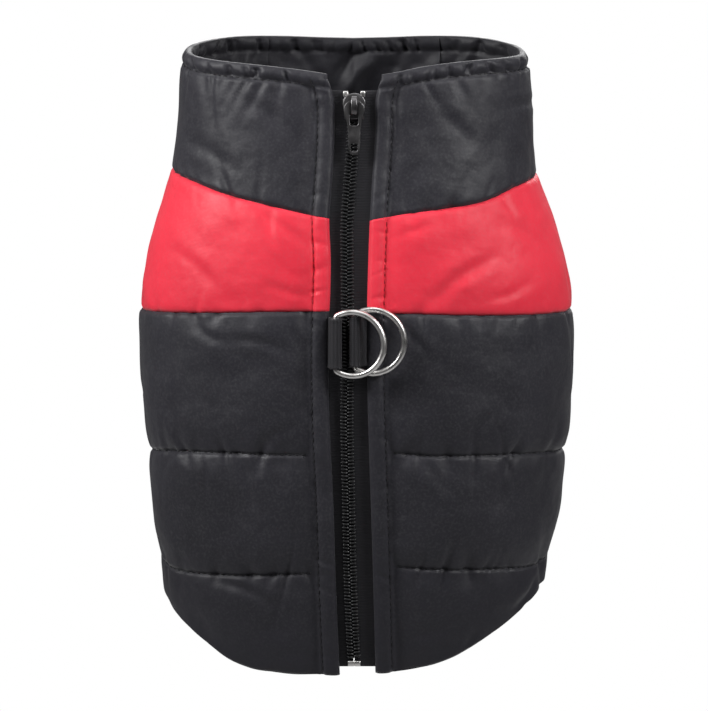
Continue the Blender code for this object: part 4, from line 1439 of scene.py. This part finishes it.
@dataclass
class LegBinding:
    """Gathered elastic binding round the inside of a leg hole's rim.

    Attributes:
        hand: Which side it is on.
        width: Its width across the rim.
        thickness: Its thickness.
        inset: How far its middle lies inside the rim.
    """

    MEAN_RADIUS = 0.022

    hand: int
    width: float = 4.0
    thickness: float = 4.6
    inset: float = 2.0

    def build(self, finishes: Finishes) -> None:
        """Sweeps a ribbed oval round the hole, drawn up by its elastic."""
        steps, sides = 220, 14
        turn = np.linspace(0.0, 2 * math.pi, steps, endpoint=False)[:, None]
        around = np.linspace(0.0, 2 * math.pi, sides, endpoint=False)[None, :]
        drawn = 1 - 0.10 * np.abs(np.sin(turn * 34 + 1.3 * np.sin(turn * 5))) - 0.05 * np.sin(turn * 11 + 2)
        inward = self.inset - self.width / 2 * drawn * np.cos(around)
        lift = EDGE_LIFT / 2 + self.thickness / 2 * drawn * np.sin(around)
        height = LEG_HEIGHT + (LEG_HALF_HEIGHT - inward) * np.sin(turn)
        seam = FORM.girth(self.hand, height) - belly_half_width(height)
        distance = seam + (LEG_HALF_WIDTH - inward) * np.cos(turn)
        points = FORM.place(np.full(height.shape, self.hand), distance, height, lift) * MM
        mesh = bmesh.new()
        loops = []
        for k in range(steps):
            circle = bmesh.ops.create_circle(mesh, segments=sides, radius=1.0)["verts"]
            for vert, point in zip(circle, points[k]):
                vert.co = point
            loops.append(list({edge for vert in circle for edge in vert.link_edges}))
        for edges, following in zip(loops, loops[1:] + loops[:1]):
            bmesh.ops.bridge_loops(mesh, edges=edges + following)
        data = mesh_from(mesh, "leg_binding", 180.0)
        self.map_ribs(data)
        side = SIDE_NAMES[self.hand]
        obj = object_of(
            f"leg_binding_{side}_elastic", data, [finishes.elastic], "coat",
            (f"leg_binding_{side}",),
        )

    def map_ribs(self, data: bpy.types.Mesh) -> None:
        """Gives the binding a map whose V runs round the hole, for its ribs."""
        points = read(data.vertices, "co", np.float32, 3)
        flat = points - points.mean(0)
        turn = np.arctan2(flat[:, 2], np.hypot(flat[:, 0], flat[:, 1]) * np.sign(flat[:, 1]))
        map_cloth(data, np.stack([np.linalg.norm(flat, axis=1), turn * self.MEAN_RADIUS], -1))


@dataclass
class Stitching:
    """Lines of lockstitch, each stitch a short rounded length of thread.

    Attributes:
        lines: Name, points, outward directions, and whether the thread is red.
        pitch: Distance from one stitch to the next.
        length: A stitch's visible length.
        thickness: The thread's thickness.
    """

    lines: list[tuple[str, Array, Array, bool]]
    pitch: float = 3.1
    length: float = 2.3
    thickness: float = 0.5

    def build(self, finishes: Finishes) -> None:
        """Lays the stitches of each line as one piece."""
        for name, points, normals, red in self.lines:
            steps = np.linalg.norm(np.diff(points, axis=0), axis=1)
            run = np.concatenate([[0.0], np.cumsum(steps)])
            mesh = bmesh.new()
            for at in np.arange(self.pitch, run[-1] - self.pitch / 2, self.pitch):
                middle, ahead, normal = (
                    Vector([np.interp(a, run, values[:, k]) for k in range(3)])
                    for a, values in ((at, points), (at + 0.5, points), (at, normals))
                )
                along = (ahead - middle).normalized()
                side = normal.cross(along).normalized()
                up = along.cross(side)
                size = Matrix.Diagonal((self.length / 2, self.thickness / 2, self.thickness / 2, 1.0))
                matrix = TO_METRES @ Matrix.Translation(middle) @ axes(along, side, up) @ size
                bmesh.ops.create_uvsphere(
                    mesh, u_segments=6, v_segments=4, radius=1.0, matrix=matrix, calc_uvs=True
                )
            thread, slot = (
                (finishes.red_thread, "red_nylon") if red else (finishes.black_thread, "black_nylon")
            )
            object_of(name, mesh_from(mesh, name, 180.0), [thread], "coat")


@dataclass
class ZipFastener:
    """The zip's tapes, its closed coil and its stops.

    Attributes:
        tape_thickness: The tape's thickness.
        tape_low, tape_high: The tape's ends.
        under_welt: How far the tape reaches under the welt.
        pitch: Distance from one tooth to the next on a side.
        chain_low, chain_high: The chain's ends.
        turn_size: A coil turn's size across, up and out.
        turn_place: How far its middle stands from the chain's middle, across and out.
        stop_height, bottom_height: Heights of the top stops and of the bottom stop.
        stop_place: How far a top stop stands from the chain's middle.
        lump: Half the distance between the bottom stop's two lumps.
        cord: The cord's half width, and the lift of its top and of its bottom.
        parting: Heights at which the tapes part above the slider, and how far they are apart.
    """

    tape_thickness: float = 0.7
    tape_low: float = -153.6
    tape_high: float = 95.0
    under_welt: float = 5.5
    pitch: float = 1.5
    chain_low: float = -149.6
    chain_high: float = 82.4
    turn_size: tuple[float, float, float] = (3.0, 0.98, 1.7)
    turn_place: tuple[float, float] = (1.42, 1.25)
    stop_height: float = 93.5
    bottom_height: float = -151.8
    stop_place: float = 3.7
    lump: float = 1.35
    cord: tuple[float, float, float] = (2.4, 0.55, -0.25)
    parting: tuple[tuple[float, ...], ...] = ((80, 83, 95), (0.25, 1.5, 2.6))

    def tape(self, hand: int, finishes: Finishes) -> None:
        """Lays one woven tape from under its welt to the chain."""
        heights = np.linspace(self.tape_low, self.tape_high, 240)[:, None]
        shares = np.linspace(0.0, 1.0, 17)[None, :]
        far = hand * (zip_edge(hand, heights) + self.under_welt)
        near = chain_place(heights) + hand * np.interp(heights, *self.parting)
        x = near + (far - near) * shares
        height = heights + 0 * x
        top = -0.32 + np.minimum(rumple(x, height, 700 + hand, 16.0, 0.12), 0.0)
        width = np.abs(far - near)
        cloth = LaidCloth(
            "tape", FORM.near_zip(x, height, top), FORM.near_zip(x, height, top - self.tape_thickness),
            shares * width, height, np.full(x.shape, 0.3),
        )
        side = SIDE_NAMES[hand]
        obj = object_of(
            f"zip_tape_{side}_weave", cloth.mesh(), [finishes.tape], "coat",
            (f"zip_tape_{side}",),
        )

    def chain(self, finishes: Finishes) -> None:
        """Sets the rounded coil turns of both sides, half a pitch apart, over their cord."""
        mesh = bmesh.new()
        for hand in (LEFT, RIGHT):
            first = self.chain_low + (0.0 if hand == LEFT else self.pitch / 2)
            for height in np.arange(first + 0.6, self.chain_high, self.pitch):
                x = float(chain_place(height)) + hand * self.turn_place[0]
                matrix = self.frame(x, height, self.turn_place[1], hand * 0.10)
                size = Matrix.Diagonal((*self.turn_size, 1.0))
                bmesh.ops.create_cube(mesh, size=1.0, matrix=TO_METRES @ matrix @ size)
        round_edges(mesh, mesh.edges[:], 0.36 * MM, 1)
        object_of(
            "zip_coil_turns", mesh_from(mesh, "coil", 180.0), [finishes.coil], "coat",
            ("zip_chain",),
        )
        heights = np.linspace(self.chain_low, self.chain_high, 160)[:, None]
        half, top, bottom = self.cord
        x = chain_place(heights) + np.linspace(-half, half, 7)[None, :]
        height = heights + 0 * x
        faces = (FORM.near_zip(x, height, lift) for lift in (top, bottom))
        cloth = LaidCloth("cord", *faces, x, height, np.full(x.shape, 0.3))
        object_of("zip_coil_core", cloth.mesh(), [finishes.tape], "coat")

    def frame(self, x: float, height: float, lift: float, lean: float = 0.0) -> Matrix:
        """Place and turn of something on the zip: X across, Y up, Z outward, in millimetres."""
        hand = RIGHT if x >= 0 else LEFT
        normal = Vector(FORM.outward(hand, abs(x), height))
        up = normal.cross(Vector((1, 0, 0))).normalized()
        place = Matrix.Translation(Vector(FORM.near_zip(x, height, lift)))
        return place @ axes(up.cross(normal), up, normal) @ Matrix.Rotation(lean, 4, "Z")

    def stop(
        self, name: str, places: tuple[float, ...], height: float, size: tuple[float, float, float],
        finishes: Finishes,
    ) -> None:
        """Clamps one metal stop, of a rounded lump at each place across the spine."""
        mesh = bmesh.new()
        for x in places:
            matrix = self.frame(x, height, size[2] / 2 + 0.05) @ Matrix.Diagonal((*size, 1.0))
            bmesh.ops.create_cube(mesh, size=1.0, matrix=TO_METRES @ matrix)
        round_edges(mesh, mesh.edges[:], 0.45 * MM)
        data = mesh_from(mesh, name, 50.0)
        object_of(f"{name}_metal", data, [finishes.nickel], "coat", (name,))

    def build(self, finishes: Finishes) -> None:
        """Makes the whole zip but for its slider."""
        for hand in (LEFT, RIGHT):
            self.tape(hand, finishes)
            place = float(chain_place(self.stop_height)) + hand * self.stop_place
            name = f"top_stop_{SIDE_NAMES[hand]}"
            self.stop(name, (place,), self.stop_height, (2.2, 2.4, 1.9), finishes)
        self.chain(finishes)
        middle = float(chain_place(self.bottom_height))
        lumps = (middle - self.lump, middle + self.lump)
        self.stop("bottom_stop", lumps, self.bottom_height, (2.8, 2.4, 2.2), finishes)


@dataclass
class Slider:
    """The zip's slider and the pull that hangs from its crown.

    Attributes:
        height: Where it stands on the zip.
        half_length: Half its length.
        half_width: Half its width at the head.
        foot: Half its width at the foot.
        plate: The upper plate's thickness.
        plate_low: The upper plate's lower face, out from the cloth's inside.
        back: The lower plate's upper face.
        crown: The crown's rise above the plate.
        hinge: The pull's hinge: up from the middle, and out from the cloth.
    """

    height: float = 88.3
    half_length: float = 5.6
    half_width: float = 4.9
    foot: float = 3.8
    plate: float = 1.4
    plate_low: float = 2.6
    back: float = -1.4
    crown: float = 3.9
    hinge: tuple[float, float] = (1.9, 5.35)

    def frame(self) -> Matrix:
        """The slider's axes in millimetres: X across, Y up the zip, Z outward."""
        x = float(chain_place(self.height))
        return ZipFastener().frame(x, self.height, 0.0)

    def outline(self, grow: float) -> list[tuple[float, float]]:
        """A plate seen from outside: a domed head that tapers to the foot."""
        width, dome = self.half_width + grow, 4.2
        base = self.half_length - dome
        turns = np.linspace(0.0, math.pi, 25)
        head = [(width * math.cos(t), base + dome * math.sin(t)) for t in turns]
        foot = self.foot + grow
        return head + [(-foot, -self.half_length), (foot, -self.half_length)]

    def slab(
        self, mesh: bmesh.types.BMesh, outline: list, low: float, high: float, round_by: float,
        axis: str = "Z",
    ) -> None:
        """Adds a rounded slab to a mesh.

        Args:
            mesh: The mesh.
            outline: Its corners in a plane.
            low: Its lower face along the axis.
            high: Its upper face.
            round_by: How far its rims are rounded.
            axis: Z, or X for an outline in the plane of Y and Z.
        """
        own = bmesh.new()
        verts = [own.verts.new((x, y, low) if axis == "Z" else (low, x, y)) for x, y in outline]
        face = own.faces.new(verts)
        moved = bmesh.ops.extrude_face_region(own, geom=[face])["geom"]
        lift = Vector((0, 0, high - low)) if axis == "Z" else Vector((high - low, 0, 0))
        bmesh.ops.translate(own, verts=[v for v in moved if isinstance(v, bmesh.types.BMVert)], vec=lift)
        own.normal_update()
        rims = [e for e in own.edges if len(e.link_faces) == 2 and e.calc_face_angle(0.0) > 0.7]
        round_edges(own, rims, round_by)
        bmesh.ops.recalc_face_normals(own, faces=own.faces)
        scratch = bpy.data.meshes.new("slab")
        own.to_mesh(scratch)
        own.free()
        mesh.from_mesh(scratch)
        bpy.data.meshes.remove(scratch)

    def crown_outline(self, plate_top: float) -> list[tuple[float, float]]:
        """The crown from the side: an arch over the pull's bar."""
        def arch(half: float, rise: float, start: float, end: float) -> list[tuple[float, float]]:
            """Points of one arch."""
            turns = np.linspace(start, end, 18)
            return [(half * math.cos(t) + 0.2, plate_top + 1.5 + rise * math.sin(t)) for t in turns]

        sunk = plate_top - 0.3
        outside = arch(4.1, self.crown - 1.5, math.pi, 0.0)
        inside = arch(2.9, self.crown - 2.7, 0.0, math.pi)
        return [(-3.9, sunk), *outside, (4.3, sunk), (3.1, sunk), *inside, (-2.7, sunk)]

    def body(self, finishes: Finishes) -> None:
        """Makes the two plates, the post between them, the side flanges and the crown."""
        low, back = self.plate_low, self.back
        high = low + self.plate
        post = [(-0.9, 3.0), (0.9, 3.0), (0.9, 5.0), (-0.9, 5.0)]
        flange = [(3.3, -5.5), (4.05, -5.5), (4.75, 1.6), (3.5, 1.6)]
        mesh = bmesh.new()
        self.slab(mesh, self.outline(0.0), low, high, 0.5)
        self.slab(mesh, self.outline(-0.4), back - 1.0, back, 0.3)
        self.slab(mesh, post, back - 0.7, high - 0.3, 0.2)
        self.slab(mesh, self.crown_outline(high), -1.3, 1.3, 0.35, "X")
        for hand in (LEFT, RIGHT):
            self.slab(mesh, [(hand * x, y) for x, y in flange], 0.2, low + 0.4, 0.2)
        bmesh.ops.transform(mesh, matrix=TO_METRES @ self.frame(), verts=mesh.verts)
        data = mesh_from(mesh, "slider", 45.0)
        object_of("slider_body", data, [finishes.gunmetal], "coat", ("slider",))

    def pull(self, finishes: Finishes) -> None:
        """Makes the pull: an eye round the crown, a plate and a hole near its end."""
        neck, foot = 2.8, -22.6
        turns = np.linspace(-0.35, math.pi + 0.35, 33)
        ear = [(4.5 * math.cos(t), -3.3 + 4.1 * math.sin(t)) for t in turns]
        one = [
            (neck + 0.5, -8.0), (neck, -10.5), (neck - 0.2, -15.0), (neck - 0.35, foot + 1.6),
            (neck - 1.3, foot),
        ]
        outline = ear + [(-x, y) for x, y in one] + one[::-1]
        eye = self.rounded([(-1.75, -0.8), (1.75, -0.8), (1.75, -10.2), (-1.75, -10.2)], 1.2)
        hole = self.rounded([(-1.5, -17.8), (1.5, -17.8), (1.5, -21.3), (-1.5, -21.3)], 0.7)
        shape = bpy.data.curves.new("pull", "CURVE")
        shape.dimensions, shape.fill_mode = "2D", "BOTH"
        shape.extrude, shape.bevel_depth, shape.bevel_resolution, shape.offset = 0.4, 0.25, 3, -0.25
        for loop in (outline, eye, hole):
            add_loop(shape, [(x, y, 0.0) for x, y in loop])
        data = curve_mesh(shape, self.frame() @ Matrix.Translation((0.0, *self.hinge)))
        object_of("pull_plate", data, [finishes.gunmetal], "pull", ("pull_tab",))

    def rounded(self, points: list[tuple[float, float]], radius: float) -> list[tuple[float, float]]:
        """An outline with its corners rounded."""
        result = []
        for i, point in enumerate(points):
            corner = Vector(point)
            before = (Vector(points[i - 1]) - corner).normalized() * radius
            after = (Vector(points[(i + 1) % len(points)]) - corner).normalized() * radius
            result += [tuple(corner + before * (1 - t) ** 2 + after * t * t) for t in np.linspace(0, 1, 8)]
        return result

    def build(self, finishes: Finishes) -> None:
        """Makes the slider and its pull."""
        self.body(finishes)
        self.pull(finishes)


def add_loop(shape: bpy.types.Curve, points: list[tuple[float, float, float]]) -> None:
    """Adds a closed line through points to a curve."""
    spline = shape.splines.new("POLY")
    spline.points.add(len(points) - 1)
    for target, point in zip(spline.points, points):
        target.co = (*point, 1.0)
    spline.use_cyclic_u = True


def curve_mesh(shape: bpy.types.Curve, place: Matrix) -> bpy.types.Mesh:
    """Turns a curve into a closed mesh in place.

    Args:
        shape: The curve, in millimetres, which is removed.
        place: Where it goes, in millimetres.

    Returns:
        The mesh in metres, doubles merged and faces outward.
    """
    holder = linked("holder", shape)
    bpy.context.view_layer.update()
    found = bpy.data.meshes.new_from_object(holder.evaluated_get(bpy.context.evaluated_depsgraph_get()))
    bpy.data.objects.remove(holder)
    bpy.data.curves.remove(shape)
    found.materials.clear()
    mesh = bmesh.new()
    mesh.from_mesh(found)
    bpy.data.meshes.remove(found)
    bmesh.ops.transform(mesh, matrix=TO_METRES @ place, verts=mesh.verts)
    bmesh.ops.remove_doubles(mesh, verts=mesh.verts, dist=0.00001)
    return mesh_from(mesh, "swept", 45.0)


@dataclass
class LeashRing:
    """A D-ring of round wire and the folded webbing tab that holds its straight bar.

    Attributes:
        hand: The side whose welt holds the tab.
        bar_x: The bar's place across the spine.
        bar_lift: The bar's lift from the cloth.
        height: The bar's middle height.
        lean: How far the ring leans out, in degrees.
        wire: The wire's thickness.
        radius: Radius of the ring's arc.
        bar_offset: How far the arc's centre stands from the bar.
        half_width: Half the webbing's width.
        webbing: The webbing's thickness.
    """

    hand: int
    bar_x: float
    bar_lift: float
    height: float
    lean: float
    wire: float = 2.6
    radius: float = 13.7
    bar_offset: float = 7.2
    half_width: float = 10.8
    webbing: float = 1.0

    def bar(self) -> Vector:
        """Middle of the ring's straight bar, in millimetres."""
        return Vector(FORM.near_zip(self.bar_x, self.height, self.bar_lift))

    def ring(self, finishes: Finishes) -> None:
        """Sweeps the wire round its D."""
        start = math.acos(-self.bar_offset / self.radius)
        reach = self.radius * math.sin(start)
        turns = np.linspace(start - 0.16, 0.16 - start, 97)
        arc = [(self.bar_offset + self.radius * math.cos(t), self.radius * math.sin(t)) for t in turns]
        bend = ((0.0, -2.0), (0.02, -1.2), (0.12, -0.5), (0.38, 0.1), (0.8, 0.45))
        corner = [(x, reach + z) for x, z in bend]
        far_corner = [(x, -z) for x, z in reversed(corner)]
        bar = [(0.0, z) for z in np.linspace(6.0 - reach, reach - 6.0, 9)]
        shape = bpy.data.curves.new("ring", "CURVE")
        shape.dimensions = "3D"
        shape.bevel_depth, shape.bevel_resolution = self.wire / 2, 6
        add_loop(shape, [(x, 0.0, z) for x, z in arc + far_corner + bar + corner])
        turn = Matrix.Rotation(-math.radians(self.lean), 4, "Z")
        data = curve_mesh(shape, Matrix.Translation(self.bar()) @ turn)
        side = SIDE_NAMES[self.hand]
        object_of(
            f"d_ring_{side}_wire", data, [finishes.nickel], f"ring_{side}",
            (f"d_ring_{side}",),
        )

    def tab(self, finishes: Finishes) -> None:
        """Folds the webbing round the bar, its two ends together at the welt."""
        bar = self.bar()
        middle_radius = self.wire / 2 + 0.3 + self.webbing / 2
        edge = self.hand * (float(zip_edge(self.hand, self.height)) - 0.1)
        place = [Vector(FORM.near_zip(edge, self.height, lift)) - bar for lift in (0.5, 1.75)]
        centre = (place[0] + place[1]) / 2
        heading = math.atan2(centre.y, centre.x)
        turns = np.linspace(heading + 0.62, heading + 2 * math.pi - 0.62, 90)
        loop = [Vector((middle_radius * math.cos(t), middle_radius * math.sin(t))) for t in turns]
        ends = (Vector((p.x, p.y)) for p in place)
        first, last = sorted(ends, key=lambda end: (end - loop[0]).length)
        path = [first.lerp(loop[0], t) for t in np.linspace(0, 1, 12)[:-1]] + loop
        path += [loop[-1].lerp(last, t) for t in np.linspace(0, 1, 12)[1:]]
        line = np.array([(p.x, p.y) for p in path])
        ahead = np.gradient(line, axis=0)
        normal = np.stack([ahead[:, 1], -ahead[:, 0]], axis=-1)
        normal /= np.linalg.norm(normal, axis=-1, keepdims=True)
        run = np.concatenate([[0.0], np.cumsum(np.linalg.norm(np.diff(line, axis=0), axis=1))])
        z = np.linspace(-self.half_width, self.half_width, 41)
        selvedge = 0.12 * (np.abs(z) > self.half_width - 1.3)
        half = self.webbing / 2 + selvedge[:, None] * 0.6 + 0.05 * np.sin(run * 2 * math.pi / 0.9)[None, :]
        height = np.broadcast_to(z[:, None], half.shape)
        faces = []
        for sign in (1, -1):
            flat = line[None] + sign * half[..., None] * normal[None]
            faces.append(np.concatenate([flat, height[..., None]], axis=-1) + np.array(bar))
        u = np.broadcast_to(run[None, :], half.shape)
        cloth = LaidCloth("tab", faces[0], faces[1], u, height, np.full(half.shape, 0.5))
        side = SIDE_NAMES[self.hand]
        obj = object_of(
            f"ring_tab_{side}_webbing", cloth.mesh(), [finishes.webbing], "coat",
            (f"ring_tab_{side}",),
        )

    def build(self, finishes: Finishes) -> None:
        """Makes the ring and its tab."""
        self.ring(finishes)
        self.tab(finishes)


@dataclass(frozen=True)
class SoftBox:
    """A square studio light.

    Attributes:
        name: The light's name.
        place: Where it stands.
        target: What it points at.
        size: Its side.
        power: Its power in watts.
        spread: How wide its beam fans out, in degrees.
    """

    name: str
    place: tuple[float, float, float]
    target: tuple[float, float, float]
    size: float
    power: float
    spread: float = 180.0

    def build(self) -> None:
        """Hangs the light."""
        light = bpy.data.lights.new(self.name, "AREA")
        light.size, light.energy, light.spread = self.size, self.power, math.radians(self.spread)
        obj = linked(self.name, light)
        obj.location = self.place
        way = Vector(self.target) - Vector(self.place)
        obj.rotation_euler = way.to_track_quat("-Z", "Y").to_euler()
        obj.visible_camera = False


@dataclass
class Studio:
    """Pale floor, soft lights and the camera at the picture's angle.

    Attributes:
        distance: The camera's distance.
        elevation: Its height above the horizon, in degrees.
        aim: Height that the picture is centred on, in metres.
        frame: Width of the picture at the coat, in metres.
        floor: The floor's height.
    """

    SENSOR = 36.0

    distance: float = 8.0
    elevation: float = 7.0
    aim: float = -0.02404
    frame: float = 0.30573
    floor: float = -0.62
    lights: tuple[SoftBox, ...] = (
        SoftBox("left_box", (-0.66, -0.29, 0.44), (0.0, 0.0, 0.010), 0.36, 0.53, 44.0),
        SoftBox("right_box", (0.60, -0.42, 0.43), (0.0, 0.0, 0.010), 0.36, 0.38, 44.0),
        SoftBox("top_box", (0.0, -0.3, 0.85), (0.0, 0.0, 0.05), 0.4, 1.2),
        SoftBox("back_box", (0.4, 1.7, 0.9), (0.0, 0.0, 0.0), 1.2, 16.0),
    )

    def camera(self) -> None:
        """Sets the long lens that shows the coat as the picture does."""
        data = bpy.data.cameras.new("camera")
        data.sensor_width = self.SENSOR
        data.lens = self.SENSOR * self.distance / self.frame
        data.clip_start, data.clip_end = 0.5, 60.0
        camera = linked("camera", data)
        rise = math.radians(self.elevation)
        target = Vector((0.0, 0.0, self.aim))
        back = Vector((0.0, -math.cos(rise), math.sin(rise)))
        camera.location = target + back * self.distance
        camera.rotation_euler = (-back).to_track_quat("-Z", "Y").to_euler()
        bpy.context.scene.camera = camera

    def ground(self) -> None:
        """Lays the round floor."""
        mesh = bmesh.new()
        place = Matrix.Translation((0, 0, self.floor))
        bmesh.ops.create_circle(mesh, cap_ends=True, segments=64, radius=1.3, matrix=place)
        data = bpy.data.meshes.new("floor")
        mesh.to_mesh(data)
        mesh.free()
        data.materials.append(PlainFinish().material())
        linked("floor", data)

    def world(self) -> None:
        """Surrounds the studio with white that lights the coat only softly."""
        scene = bpy.context.scene
        scene.world = bpy.data.worlds.new("studio")
        scene.world.use_nodes = True
        tree = scene.world.node_tree
        sky = tree.nodes["Background"]
        seen = tree.nodes.new("ShaderNodeLightPath")
        way = tree.nodes.new("ShaderNodeTexCoord")
        split = tree.nodes.new("ShaderNodeSeparateXYZ")
        glow = tree.nodes.new("ShaderNodeMapRange")
        glow.interpolation_type = "SMOOTHSTEP"
        for socket, value in (("From Min", -0.15), ("From Max", 0.75), ("To Min", 0.012), ("To Max", 0.3)):
            glow.inputs[socket].default_value = value
        strength = tree.nodes.new("ShaderNodeMapRange")
        strength.inputs["To Max"].default_value = 1.0
        tree.links.new(way.outputs["Generated"], split.inputs[0])
        tree.links.new(split.outputs["Z"], glow.inputs["Value"])
        tree.links.new(glow.outputs[0], strength.inputs["To Min"])
        tree.links.new(seen.outputs["Is Camera Ray"], strength.inputs["Value"])
        tree.links.new(strength.outputs[0], sky.inputs["Strength"])
        sky.inputs["Color"].default_value = (1.0, 1.0, 1.0, 1.0)
        scene.view_settings.view_transform = "Standard"

    def build(self) -> None:
        """Sets up the studio."""
        self.camera()
        self.ground()
        self.world()
        for light in self.lights:
            light.build()


def main() -> None:
    """Builds the coat, its zip, slider and rings, and the studio."""
    logging.basicConfig(level=logging.INFO, format="%(name)s: %(message)s")
    finishes = Finishes()
    Studio().build()
    Coat(finishes).build()
    ZipFastener().build(finishes)
    Slider().build(finishes)
    LeashRing(LEFT, -7.6, 6.4, -11.5, 11.5).build(finishes)
    LeashRing(RIGHT, 0.6, 5.2, -10.7, 3.0).build(finishes)


if __name__ == "__main__":
    main()
